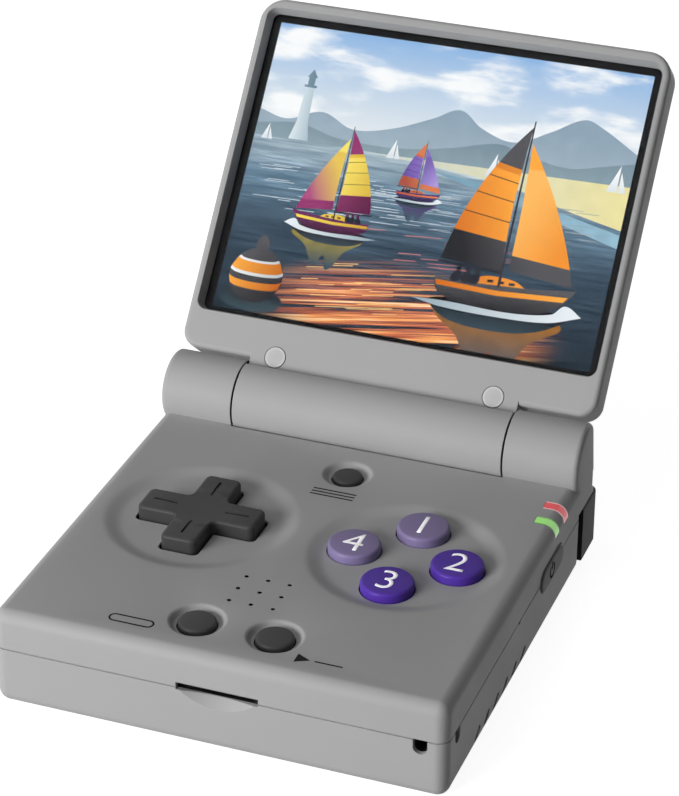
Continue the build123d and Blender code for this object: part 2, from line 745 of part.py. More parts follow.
# ---- shoulder buttons and their pins ----------------------------------------
def shoulder_button(x0, x1):
    """A right-hand shoulder button between two X places, turning on a pin near x0."""
    pin_x = x0 + shoulder_pin_inset
    with BuildPart() as button:
        with BuildSketch(Plane.XY.offset(shoulder_foot)) as plan:
            with Locations(((x0 + x1) / 2, (shoulder_front + shoulder_rear) / 2)):
                Rectangle(x1 - x0, shoulder_rear - shoulder_front)
            fillet(plan.vertices().sort_by(Axis.X)[:2].sort_by(Axis.Y)[0], shoulder_pin_inset - 0.3)
            fillet(plan.vertices().sort_by(Axis.X)[-2:].sort_by(Axis.Y)[-1], shoulder_corner_radius)
        extrude(amount=shoulder_top - shoulder_foot)
        fillet(button.faces().sort_by(Axis.Z)[-1].edges(), shoulder_edge_radius)
        chamfer(button.faces().sort_by(Axis.Z)[0].edges(), 0.3)
        # Room for the lug under the pin's end, swept by the button's own turn
        lug_top = lug_bottom + lug_height + lug_clearance
        room = lug_radius + lug_clearance + lug_radius * sin(radians(shoulder_press))
        with BuildSketch(Plane.XY):
            with Locations((pin_x, pin_y)):
                Circle(room)
                Rectangle(2 * room, 2 * shoulder_pin_back, align=(Align.CENTER, Align.MAX))
                Rectangle(2 * room, 2 * room, align=(Align.MAX, Align.CENTER))
        extrude(amount=lug_top, mode=Mode.SUBTRACT)
        with Locations((pin_x, pin_y, 0)):
            Cylinder(shoulder_pin_radius + pin_clearance, 2 * shoulder_top,
                     align=(Align.CENTER, Align.CENTER, Align.MIN), mode=Mode.SUBTRACT)
    return button


shoulder_buttons = {place: shoulder_button(*cell) for place, cell in bay_cells.items()}

with BuildPart() as shoulder_pins:
    with Locations(*[(x, y, lug_bottom) for x, y in shoulder_pin_points]):
        Cylinder(shoulder_pin_radius, bay_height + shoulder_pin_anchor - seat_gap - lug_bottom,
                 align=(Align.CENTER, Align.CENTER, Align.MIN))

with BuildPart() as shoulder_switches:
    for x0, x1 in bay_cells.values():
        for side in (-1, 1):
            switch_x = side * (x1 - shoulder_switch_inset)
            upright_box(switch_x - switch_width / 2, switch_x + switch_width / 2,
                        bay_front_y, bay_front_y + shoulder_switch_reach,
                        (bay_height - shoulder_switch_height) / 2, (bay_height + shoulder_switch_height) / 2)
            with BuildSketch(Plane.XZ.offset(-bay_front_y - shoulder_switch_reach)):
                with Locations((switch_x, bay_height / 2)):
                    Circle(shoulder_nib_radius)
            extrude(amount=-nib_length)


# ---- hinge ------------------------------------------------------------------
with BuildPart() as hinge_pin_right:
    with BuildSketch(Plane.YZ.offset(block_x)):
        with Locations((hinge_y, hinge_z)):
            Circle(pin_root_radius)
    extrude(amount=pin_root_length)
    chamfer(hinge_pin_right.faces().sort_by(Axis.X)[-1].edges(), 0.4)
    with BuildSketch(Plane.YZ.offset(block_x)):
        with Locations((hinge_y, hinge_z)):
            Circle(pin_radius)
    extrude(amount=-pin_grip)
    chamfer(hinge_pin_right.faces().sort_by(Axis.X)[0].edges(), 0.4)

with BuildPart() as hinge_module_right:
    module_end = barrel_length / 2 - 0.2
    with BuildSketch(Plane.YZ.offset(module_end - module_length)):
        with Locations((hinge_y, hinge_z)):
            Circle(barrel_radius - barrel_wall - module_clearance)
    extrude(amount=module_length)
    chamfer(hinge_module_right.faces().sort_by(Axis.X)[0].edges(), 0.6)
    with BuildSketch(Plane.YZ.offset(block_x - pin_grip - 0.4)):
        with Locations((hinge_y, hinge_z)):
            Circle(pin_radius + pin_clearance)
    extrude(amount=module_length, mode=Mode.SUBTRACT)


# ---- lid --------------------------------------------------------------------
lid_out = Axis(lid_plane.origin, lid_plane.z_dir)

with BuildPart() as lid_front_bezel:
    with BuildSketch(lid_plane.offset(lid_seam)):
        add(lid_plan.sketch)
    extrude(amount=bezel_depth)
    fillet(lid_front_bezel.faces().sort_by(lid_out)[-1].edges(), lid_front_radius)
    # Front half of the barrel and its neck
    with BuildSketch(lid_section.offset(-barrel_length / 2)):
        Circle(barrel_radius)
        with Locations((0, lid_seam)):
            Rectangle(heel_start + 2, bezel_depth, align=(Align.MIN, Align.MIN))
        Circle(barrel_radius - barrel_wall, mode=Mode.SUBTRACT)
        with Locations((0, lid_seam)):
            Rectangle(4 * barrel_radius, 2 * barrel_radius, align=(Align.CENTER, Align.MAX),
                      mode=Mode.SUBTRACT)
    extrude(amount=barrel_length)
    # The lid's flat face runs on over the barrel
    with BuildSketch(lid_section.offset(-barrel_length / 2)):
        with Locations((brow_start, lid_face)):
            Rectangle(barrel_radius, barrel_radius, align=(Align.MIN, Align.MIN))
    extrude(amount=barrel_length, mode=Mode.SUBTRACT)
    # Window with sloping walls, and the pocket behind it for the glass
    with BuildSketch(lid_plane.offset(glass_face)):
        with Locations((0, window_middle)):
            RectangleRounded(window_width, window_height, window_corner_radius)
    extrude(amount=glass_recess + 0.2, taper=-window_flare, mode=Mode.SUBTRACT)
    with BuildSketch(lid_plane.offset(glass_face)):
        with Locations((0, window_middle)):
            RectangleRounded(window_width + 2 * glass_ledge, window_height + 2 * glass_ledge,
                             window_corner_radius + glass_ledge)
    extrude(amount=-2 * glass_thickness, mode=Mode.SUBTRACT)
    # Stepped holes for the bumpers and the screws under them
    for radius, top, depth in (
        (bumper_radius + 0.05, lid_face, bumper_depth),
        (lid_screw_head_radius + 0.1, lid_face - bumper_depth, lid_screw_head_height + 0.1),
        (lid_screw_radius + 0.1, lid_face - bumper_depth, bezel_depth),
    ):
        with BuildSketch(lid_plane.offset(top)):
            with Locations(*bumper_points):
                Circle(radius)
        extrude(amount=-depth, mode=Mode.SUBTRACT)

with BuildPart() as lid_back_cover:
    with BuildSketch(lid_plane.offset(lid_seam)):
        add(lid_plan.sketch)
    extrude(amount=lid_back - lid_seam)
    fillet(lid_back_cover.faces().sort_by(lid_out)[0].edges(), lid_back_radius)
    # Rear half of the barrel and its neck
    with BuildSketch(lid_section.offset(-barrel_length / 2)):
        Circle(barrel_radius)
        with Locations((0, lid_seam)):
            Rectangle(heel_start + lid_back_radius + 1, lid_seam - lid_back, align=(Align.MIN, Align.MAX))
        Circle(barrel_radius - barrel_wall, mode=Mode.SUBTRACT)
        with Locations((0, lid_seam)):
            Rectangle(4 * barrel_radius, 2 * barrel_radius, align=(Align.CENTER, Align.MIN),
                      mode=Mode.SUBTRACT)
    extrude(amount=barrel_length)
    # Hollow behind the panel
    hollow_start = heel_start + heel_depth
    hollow_end = lid_reach - cover_wall
    with BuildSketch(lid_plane.offset(lid_seam)):
        with Locations((0, (hollow_start + hollow_end) / 2)):
            RectangleRounded(base_width - 2 * cover_wall, hollow_end - hollow_start,
                             lid_corner_radius - cover_wall)
    extrude(amount=lid_back + cover_wall - lid_seam, mode=Mode.SUBTRACT)
    # Pilot holes of the screws, and the way of the display's flat cable
    with BuildSketch(lid_plane.offset(lid_seam)):
        with Locations(*bumper_points):
            Circle(lid_screw_radius + press_clearance)
    extrude(amount=lid_back + 1.0 - lid_seam, mode=Mode.SUBTRACT)
    with BuildSketch(lid_plane.offset(lid_seam)):
        with Locations((0, hollow_start)):
            Rectangle(flex_width + 1.0, 2 * (hollow_start - barrel_radius + 2 * barrel_wall))
    extrude(amount=-flex_turn_radius, mode=Mode.SUBTRACT)

with BuildPart() as display_glass:
    with BuildSketch(lid_plane.offset(glass_back)):
        with Locations((0, window_middle)):
            RectangleRounded(window_width + 2 * glass_ledge - 0.2, window_height + 2 * glass_ledge - 0.2,
                             window_corner_radius + glass_ledge - 0.1)
    extrude(amount=glass_thickness)

with BuildPart() as display_panel:
    with BuildSketch(lid_plane.offset(glass_back - 0.05)):
        with Locations((0, window_middle)):
            RectangleRounded(window_width - 2 * panel_margin, window_height - 2 * panel_margin, 0.6)
    extrude(amount=-panel_thickness)

with BuildPart() as display_flex:
    flex_z = glass_back - panel_thickness / 2
    turn_radius = abs(flex_z)
    with BuildSketch(lid_section.offset(-flex_width / 2)):
        with BuildLine():
            Line((window_start + panel_margin - 0.05, flex_z), (0, flex_z))
            CenterArc((0, 0), turn_radius, 270, -260)
        trace(line_width=flex_thickness)
    extrude(amount=flex_width)

with BuildPart() as lid_bumpers:
    with BuildSketch(lid_plane.offset(lid_face - bumper_depth + 0.02)):
        with Locations(*bumper_points):
            Circle(bumper_radius)
    extrude(amount=bumper_depth + bumper_rise)
    fillet(lid_bumpers.edges().group_by(lid_out)[-1], 0.2)

with BuildPart() as lid_screws:
    head_seat = lid_face - bumper_depth - lid_screw_head_height - 0.1
    with BuildSketch(lid_plane.offset(head_seat)):
        with Locations(*bumper_points):
            Circle(lid_screw_head_radius)
    extrude(amount=lid_screw_head_height)
    with BuildSketch(lid_plane.offset(head_seat)):
        with Locations(*bumper_points):
            Circle(lid_screw_radius)
    extrude(amount=lid_back + 1.3 - head_seat)


# ---- inside the base --------------------------------------------------------
with BuildPart() as main_board:
    with BuildSketch(Plane.XY.offset(board_bottom)):
        add(base_plan.sketch)
        offset(amount=-side_wall - board_margin, mode=Mode.REPLACE)
        with Locations((0, cavity_rear_y - 1.0)):
            Rectangle(2 * base_width, base_depth, align=(Align.CENTER, Align.MIN), mode=Mode.SUBTRACT)
        # Tongue that carries the charging port
        with Locations((0, rear_y - side_wall - usb_recess)):
            Rectangle(2 * (bay_inner_x - bay_wall - 0.4), base_depth / 3, align=(Align.CENTER, Align.MAX))
        with Locations(*screw_points):
            Circle(boss_radius + 0.3, mode=Mode.SUBTRACT)
        with Locations(*board_screw_points):
            Circle(board_screw_radius + 0.1, mode=Mode.SUBTRACT)
    extrude(amount=board_thickness)

with BuildPart() as battery:
    with BuildSketch(Plane.XZ.offset(-battery_y - battery_length / 2)):
        with Locations((0, floor_wall + battery_height / 2)):
            RectangleRounded(battery_width, battery_height, 1.6)
    extrude(amount=battery_length)

with BuildPart() as speaker:
    speaker_top = ceiling - seat_gap
    with Locations((speaker_x, speaker_y, speaker_top)):
        Cylinder(speaker_radius, speaker_height, align=(Align.CENTER, Align.CENTER, Align.MAX))
        Cylinder(speaker_radius - 1.2, 0.5, align=(Align.CENTER, Align.CENTER, Align.MAX),
                 mode=Mode.SUBTRACT)
    with Locations((speaker_x, speaker_y, speaker_top - 0.5)):
        Cone(speaker_radius - 2.0, 2.0, 0.3, align=(Align.CENTER, Align.CENTER, Align.MIN))

with BuildPart() as processor_shield:
    with BuildSketch(Plane.XY.offset(board_bottom)):
        with Locations((pad_spacing / 2, pad_y)):
            RectangleRounded(shield_width, shield_length, 1.0)
    extrude(amount=-shield_height)
    fillet(processor_shield.faces().sort_by(Axis.Z)[0].edges(), 0.4)

with BuildPart() as card_socket:
    socket_front = front_y + side_wall + 0.6
    upright_box(slot_x - socket_width / 2, slot_x + socket_width / 2, socket_front,
                socket_front + socket_length, board_bottom - socket_height, board_bottom)
    upright_box(slot_x - socket_width / 2 + 1.2, slot_x + socket_width / 2 - 1.2, socket_front - 1,
                socket_front + socket_length - 1.2, board_bottom - socket_height + 0.25,
                board_bottom - 0.25, Mode.SUBTRACT)

with BuildPart() as usb_port:
    with BuildSketch(Plane.XZ.offset(-rear_y + usb_recess)):
        with Locations((0, board_bottom - usb_height / 2)):
            SlotOverall(usb_width, usb_height)
            SlotOverall(usb_width - 2 * usb_wall, usb_height - 2 * usb_wall, mode=Mode.SUBTRACT)
    extrude(amount=usb_length)
    back_wall_y = rear_y - usb_recess - usb_length
    with BuildSketch(Plane.XZ.offset(-back_wall_y)):
        with Locations((0, board_bottom - usb_height / 2)):
            SlotOverall(usb_width, usb_height)
    extrude(amount=-usb_back_wall)
    with Locations((0, back_wall_y, board_bottom - usb_height / 2)):
        Box(usb_width - 2 * usb_tongue_margin, usb_length - usb_back_wall, usb_tongue_thickness,
            align=(Align.CENTER, Align.MIN, Align.CENTER))

with BuildPart() as headphone_jack:
    jack_z = board_bottom - jack_height / 2
    jack_outer_x = -inner_wall_x + seat_gap
    upright_box(jack_outer_x, jack_outer_x + jack_length, jack_y - jack_width / 2,
                jack_y + jack_width / 2, board_bottom - jack_height, board_bottom)
    with BuildSketch(Plane.YZ.offset(-side_x + jack_recess)):
        with Locations((jack_y, jack_z)):
            Circle(jack_nose_radius - port_clearance)
    extrude(amount=side_wall)
    with BuildSketch(Plane.YZ.offset(-side_x + jack_recess)):
        with Locations((jack_y, jack_z)):
            Circle(jack_bore_radius)
    extrude(amount=jack_bore_length, mode=Mode.SUBTRACT)


def membrane(outline, domes, foot_radius, dome_top):
    """A rubber sheet on the board with a tapered dome under each button."""
    with BuildPart() as sheet:
        with BuildSketch(Plane.XY.offset(board_top)):
            add(outline)
        extrude(amount=membrane_thickness)
        for x, y in domes:
            with Locations((x, y, board_top)):
                Cone(foot_radius, foot_radius * 0.7, dome_top - board_top,
                     align=(Align.CENTER, Align.CENTER, Align.MIN))
    return sheet


with BuildSketch() as dpad_membrane_plan:
    with Locations((pad_x, pad_y)):
        Circle(pad_flange_radius + pad_sheet_margin)
with BuildSketch() as action_membrane_plan:
    with Locations((pad_spacing / 2, pad_y)):
        RectangleRounded(2 * (button_pitch + membrane_margin), 2 * (button_pitch + membrane_margin),
                         membrane_corner_radius)
with BuildSketch() as option_membrane_plan:
    with Locations((0, option_y)):
        RectangleRounded(option_spacing + 2 * membrane_margin, 2 * membrane_margin + 1.2,
                         membrane_corner_radius)
    with Locations((0, menu_y)):
        Circle(menu_radius + menu_sheet_margin)

pad_drop = (pad_dome_spot + dome_radius) * tan(radians(pad_tilt))
pad_dome_points = [(pad_x + pad_dome_spot * cos(radians(a)), pad_y + pad_dome_spot * sin(radians(a)))
                   for a in (0, 90, 180, 270)]
pad_sheet = membrane(dpad_membrane_plan.sketch, pad_dome_points, dome_radius,
                     pivot_z - flange_thickness - pad_drop - dome_clearance)
with BuildPart() as dpad_membrane:
    add(pad_sheet.part)
    with Locations((pad_x, pad_y, board_top)):
        Cylinder(pivot_radius + pivot_pad_margin, pivot_foot - dome_clearance - board_top,
                 align=(Align.CENTER, Align.CENTER, Align.MIN))
action_membrane = membrane(action_membrane_plan.sketch, button_points, large_dome_radius,
                           button_bottom - button_travel - dome_clearance)
option_membranes = membrane(option_membrane_plan.sketch, [(0, menu_y)] + option_points, dome_radius,
                            button_bottom - option_travel - dome_clearance)

with BuildPart() as side_switches:
    for side, y in ((1, power_y), (1, reset_y), (-1, power_y - rocker_switch_offset),
                    (-1, power_y + rocker_switch_offset)):
        upright_box(side * (board_edge_x - switch_depth), side * board_edge_x, y - switch_width / 2,
                    y + switch_width / 2, board_bottom - switch_height, board_bottom)
        with BuildSketch(Plane.YZ.offset(side * board_edge_x)):
            with Locations((y, side_control_z)):
                Circle(nib_radius)
        extrude(amount=side * nib_length)

with BuildPart() as status_leds:
    for step in (-0.5, 0.5):
        middle = light_middle_y + step * light_spacing
        upright_box(side_x - light_start - 1.1, side_x - light_start - 0.1, middle - 0.8, middle + 0.8,
                    board_top, board_top + 0.6)


def light_pipe(middle):
    """A clear strip that runs over the right-hand edge, with a leg down to its light."""
    start = side_x - light_start + press_clearance
    foot = base_height - light_drop + press_clearance
    with BuildPart() as pipe:
        with BuildSketch(Plane.XZ.offset(-middle - light_width / 2 + press_clearance)):
            with BuildLine():
                Polyline(
                    (side_x, base_height - edge_radius),
                    (side_x, foot),
                    (side_x - light_thickness, foot),
                    (side_x - light_thickness, base_height - edge_radius),
                )
                RadiusArc(
                    (side_x - light_thickness, base_height - edge_radius),
                    (side_x - edge_radius, base_height - light_thickness),
                    -(edge_radius - light_thickness),
                )
                Polyline(
                    (side_x - edge_radius, base_height - light_thickness),
                    (start + light_leg, base_height - light_thickness),
                    (start + light_leg, board_top + 0.1),
                    (start, board_top + 0.1),
                    (start, base_height),
                    (side_x - edge_radius, base_height),
                )
                RadiusArc(
                    (side_x - edge_radius, base_height), (side_x, base_height - edge_radius), edge_radius
                )
            make_face()
        extrude(amount=light_width - 2 * press_clearance)
    return pipe


red_light_pipe = light_pipe(light_middle_y + light_spacing / 2)
green_light_pipe = light_pipe(light_middle_y - light_spacing / 2)


# ---- screws -----------------------------------------------------------------
def screws(points, head_bottom, head_radius, head_height, radius, tip):
    """Pan-head screws that go up from below, all in one group."""
    with BuildPart() as group:
        with Locations(*[(x, y, head_bottom) for x, y in points]):
            Cylinder(head_radius, head_height, align=(Align.CENTER, Align.CENTER, Align.MIN))
            Cylinder(radius, tip - head_bottom, align=(Align.CENTER, Align.CENTER, Align.MIN))
        chamfer(group.edges().group_by(Axis.Z)[0], 0.25)
        # Cross recess
        for turn in (0, 90):
            with Locations(*[(x, y, head_bottom) for x, y in points]):
                Box(head_radius * 1.1, 0.5, 0.7, rotation=(0, 0, turn),
                    align=(Align.CENTER, Align.CENTER, Align.MIN), mode=Mode.SUBTRACT)
    return group


base_screws = screws(screw_points, screw_recess - screw_head_height, screw_head_radius,
                     screw_head_height, screw_radius, screw_tip)
board_screws = screws(board_screw_points, board_bottom - board_screw_head_height,
                      board_screw_head_radius, board_screw_head_height, board_screw_radius,
                      board_screw_tip)

# ---- files ------------------------------------------------------------------
pieces = {
    "base_top_shell": base_top_shell.part,
    "base_bottom_shell": base_bottom_shell.part,
    "lid_front_bezel": lid_front_bezel.part,
    "lid_back_cover": lid_back_cover.part,
    "display_glass": display_glass.part,
    "display_panel": display_panel.part,
    "display_flex": display_flex.part,
    "lid_bumpers": lid_bumpers.part,
    "lid_screws": lid_screws.part,
    "hinge_pin_right": hinge_pin_right.part,
    "hinge_pin_left": mirror(hinge_pin_right.part, about=Plane.YZ),
    "hinge_module_right": hinge_module_right.part,
    "hinge_module_left": mirror(hinge_module_right.part, about=Plane.YZ),
    "dpad": dpad.part,
    "dpad_pivot": dpad_pivot.part,
    "dpad_membrane": dpad_membrane.part,
    "action_membrane": action_membrane.part,
    "option_membranes": option_membranes.part,
    "menu_button": menu_button.part,
    "select_button": select_button.part,
    "start_button": start_button.part,
    "power_button": power_button.part,
    "volume_rocker": volume_rocker.part,
    "shoulder_pins": shoulder_pins.part,
    "shoulder_switches": shoulder_switches.part,
    "side_switches": side_switches.part,
    "main_board": main_board.part,
    "processor_shield": processor_shield.part,
    "battery": battery.part,
    "speaker": speaker.part,
    "card_socket": card_socket.part,
    "usb_port": usb_port.part,
    "headphone_jack": headphone_jack.part,
    "status_leds": status_leds.part,
    "red_light_pipe": red_light_pipe.part,
    "green_light_pipe": green_light_pipe.part,
    "base_screws": base_screws.part,
    "board_screws": board_screws.part,
}
for name, button in action_buttons.items():
    pieces[f"action_button_{name}"] = button.part
for place, button in shoulder_buttons.items():
    pieces[f"shoulder_button_right_{place}"] = button.part
    pieces[f"shoulder_button_left_{place}"] = mirror(button.part, about=Plane.YZ)

os.makedirs("parts", exist_ok=True)
for name, piece in pieces.items():
    piece.label = name
    export_step(piece, f"parts/{name}.step")
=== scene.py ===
# Clamshell handheld game console, lid open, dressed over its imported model.
# Metres, X to the player's right, Y towards the hinge, Z up. Sizes below are
# written in millimetres and turned into metres by MM.
import json
import math

import bmesh
import bpy
from mathutils import Matrix, Vector
from mathutils.bvhtree import BVHTree


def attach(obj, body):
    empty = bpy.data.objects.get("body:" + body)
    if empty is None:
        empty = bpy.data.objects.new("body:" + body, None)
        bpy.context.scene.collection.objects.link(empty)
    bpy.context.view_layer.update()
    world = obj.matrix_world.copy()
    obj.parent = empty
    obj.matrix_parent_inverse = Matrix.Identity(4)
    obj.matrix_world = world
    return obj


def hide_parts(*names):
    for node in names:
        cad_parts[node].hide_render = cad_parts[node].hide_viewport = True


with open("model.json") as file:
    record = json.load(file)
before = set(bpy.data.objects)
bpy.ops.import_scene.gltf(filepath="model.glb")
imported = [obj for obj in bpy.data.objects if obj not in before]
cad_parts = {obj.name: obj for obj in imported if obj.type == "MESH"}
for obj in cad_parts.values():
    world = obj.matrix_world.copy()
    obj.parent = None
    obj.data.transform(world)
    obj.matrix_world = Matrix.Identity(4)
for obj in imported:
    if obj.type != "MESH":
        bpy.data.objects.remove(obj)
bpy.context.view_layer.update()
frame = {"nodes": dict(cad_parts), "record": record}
nodes = frame["nodes"]

MM = 0.001
MILLIMETRES = (MM, MM, MM)

# ---- places shared with the solid model, in millimetres ------------------------
hinge_y, hinge_z = 38.2, 22.2          # barrel axis
lid_lean = 50.0                        # degrees the lid's plane leans from flat
window_width, window_height = 80.8, 62.0
window_start = 15.9                    # barrel axis to the window's lower edge
window_corner = 1.4
glass_front = 0.05                     # heights out of the barrel axis, along the lid's normal
panel_front = -0.90
top_height = 19.3                      # the base's top face
side_x, front_y, rear_y = 42.5, -44.45, 44.45
block_end = 27.75                      # the end blocks' faces towards the barrel
bumper_x, bumper_start, bumper_radius = 22.35, 8.25, 2.15
light_half_width = 1.28
light_middles = {"light_red": 24.45, "light_green": 18.85}
power_middle = (15.75, 11.5)           # of the power button, Y and Z
power_face = 42.9

# ---- camera, worked out from the photograph ------------------------------------
photo_width, photo_height = 679, 796
focal_pixels = 3002.7
camera_place = (168.59, -437.96, 310.18)
camera_azimuth, camera_elevation, camera_roll = 20.318, 29.254, 0.215

# ---- finishes: linear base colours ---------------------------------------------
WHITE = (1.0, 1.0, 1.0)
SHELL_GREY = (0.43, 0.43, 0.43)
# near-black painted shade for the case's hollows and gaps
PAINTED_SHADE_GREY = (0.012, 0.012, 0.012)
KEY_GREY = (0.24, 0.24, 0.24)
CONTROL_GREY = (0.055, 0.055, 0.055)
SHOULDER_GREY = (0.035, 0.035, 0.035)
LILAC = (0.26, 0.21, 0.40)
VIOLET = (0.10, 0.04, 0.42)
MARK_WHITE = (0.92, 0.92, 0.94)
MARK_DARK = (0.035, 0.035, 0.035)
SIGNAL_RED = (0.67, 0.07, 0.08)
SIGNAL_GREEN = (0.30, 0.70, 0.17)

SHELL_ROUGHNESS, SHELL_EDGE = 0.52, 0.22
CLOUD_EDGES, CLOUD_DETAIL = (0.3, 0.7), 3.0    # of the noise that drifts a colour or a gloss
CURVE_STEPS = 8                        # points between two given ones of a picture curve


# ==== node trees and materials ===================================================
class NodeTree:
    """Short ways to add and join nodes; an output is a (node, socket) pair."""

    def __init__(self, tree):
        self.tree = tree
        tree.nodes.clear()

    def feed(self, socket, value):
        """Gives an input a value, or joins it to an output."""
        if isinstance(value, tuple) and isinstance(value[0], bpy.types.Node):
            self.tree.links.new(value[0].outputs[value[1]], socket)
        else:
            socket.default_value = (*value, 1.0) if socket.type == "RGBA" else value

    def add(self, kind, inputs=None, **fields):
        node = self.tree.nodes.new(kind)
        for key, value in fields.items():
            setattr(node, key, value)
        for key, value in (inputs or {}).items():
            self.feed(node.inputs[key], value)
        return node

    def maths(self, operation, *values, **fields):
        """The output of a Math node over numbers or outputs."""
        return self.add("ShaderNodeMath", dict(enumerate(values)), operation=operation, **fields), 0


class Finish(NodeTree):
    """A material round one Principled shader."""

    def __init__(self, name, colour, roughness, **settings):
        self.material = bpy.data.materials.new(name)
        self.material.use_nodes = True
        super().__init__(self.material.node_tree)
        self.shader = self.add("ShaderNodeBsdfPrincipled",
                               {"Base Color": colour, "Roughness": roughness})
        for key, value in settings.items():
            self.paint(value, key.replace("_", " ").title().replace("Ior", "IOR"))
        self.add("ShaderNodeOutputMaterial", {"Surface": (self.shader, "BSDF")})

    def paint(self, value, socket="Base Color"):
        """Gives one of the shader's inputs a value or an output."""
        self.feed(self.shader.inputs[socket], value)

    def remap(self, coordinates, scale, turn=(0, 0, 0), place=(0, 0, 0), kind="POINT"):
        """Coordinates stretched, turned by angles in degrees, and moved."""
        mapping = self.add("ShaderNodeMapping", {
            "Vector": coordinates, "Location": place, "Scale": scale,
            "Rotation": [math.radians(angle) for angle in turn]}, vector_type=kind)
        return mapping, "Vector"

    def coordinates(self, place=(0, 0, 0), turn=(0, 0, 0), scale=(1.0, 1.0, 1.0)):
        """Object coordinates in a frame of their own: its origin, turn in degrees and units."""
        source = self.add("ShaderNodeTexCoord")
        return self.remap((source, "Object"), scale, turn, place, "TEXTURE")

    def lid_coordinates(self):
        """Millimetres from the barrel's axis: X to the right, Y up the lid, Z out of it."""
        return self.coordinates((0, hinge_y * MM, hinge_z * MM), (lid_lean, 0, 0), MILLIMETRES)

    def axes(self, coordinates):
        """The X, Y and Z outputs of coordinates."""
        split = self.add("ShaderNodeSeparateXYZ", {"Vector": coordinates})
        return (split, "X"), (split, "Y"), (split, "Z")

    def squares(self, first, second):
        """The sum of the squares of two outputs."""
        return self.maths("ADD", *(self.maths("MULTIPLY", part, part) for part in (first, second)))

    def noise(self, coordinates, scale, detail=2.0, roughness=0.5):
        return self.add("ShaderNodeTexNoise", {"Vector": coordinates, "Scale": scale,
                                               "Detail": detail, "Roughness": roughness}), "Fac"

    def share(self, value, start, end, low=0.0, high=1.0):
        """Maps the range from start to end on to the range from low to high."""
        return self.add("ShaderNodeMapRange", {"Value": value, "From Min": start, "From Max": end,
                                               "To Min": low, "To Max": high}), "Result"

    def ramp(self, value, stops, ease="LINEAR"):
        """A colour ramp; stops are (position, colour) pairs."""
        node = self.add("ShaderNodeValToRGB", {"Fac": value})
        node.color_ramp.interpolation = ease
        elements = node.color_ramp.elements
        while len(elements) < len(stops):
            elements.new(0.5)
        for element, (position, colour) in zip(elements, stops):
            element.position = position
            element.color = (*colour, 1.0)
        return node, "Color"

    def mix(self, factor, first, second, blend="MIX"):
        """A mix of two colours."""
        return self.add("ShaderNodeMix", {0: factor, 6: first, 7: second},
                        data_type="RGBA", blend_type=blend), 2

    def clouds(self, coordinates, scale, colour, spread):
        """A colour that drifts by a small share round its written value."""
        stops = [(position, tuple(part * tone for part in colour))
                 for position, tone in zip(CLOUD_EDGES, (1 - spread, 1 + spread))]
        return self.ramp(self.noise(coordinates, scale, CLOUD_DETAIL), stops)

    def bump(self, height, depth, **fields):
        """Presses a height, from 0 to 1, into the surface by a depth in millimetres."""
        normal = self.shader.inputs["Normal"]
        node = self.add("ShaderNodeBump", {"Distance": depth * MM, "Height": height}, **fields)
        if normal.is_linked:
            self.feed(node.inputs["Normal"], (normal.links[0].from_node, "Normal"))
        self.paint((node, "Normal"), "Normal")

    def grain(self, scale, depth, edge=0.0):
        """Fine bump all over, and soft edges that catch light; both in millimetres."""
        if edge:
            rounding = self.add("ShaderNodeBevel", {"Radius": edge * MM}, samples=4)
            self.paint((rounding, "Normal"), "Normal")
        self.bump(self.noise(self.coordinates(), scale), depth)


def moulded_finish(name, colour, roughness, grain_depth=0.006, edge=0.0, sheen=0.15, **settings):
    """Matt moulded plastic with a fine spark-eroded grain, and its drifting colour."""
    drift_scale, wear_scale, grain_scale = 55.0, 90.0, 7000.0
    drift_spread, wear_spread = 0.015, 0.03
    finish = Finish(name, colour, roughness, specular_ior_level=sheen, **settings)
    drift = finish.clouds(finish.coordinates(), drift_scale, colour, drift_spread)
    finish.paint(drift)
    wear = finish.noise(finish.coordinates(), wear_scale, CLOUD_DETAIL)
    finish.paint(finish.share(wear, *CLOUD_EDGES, roughness - wear_spread,
                              roughness + wear_spread), "Roughness")
    finish.grain(grain_scale, grain_depth, edge)
    return finish, drift


def moulded_plastic(*values, **settings):
    return moulded_finish(*values, **settings)[0].material


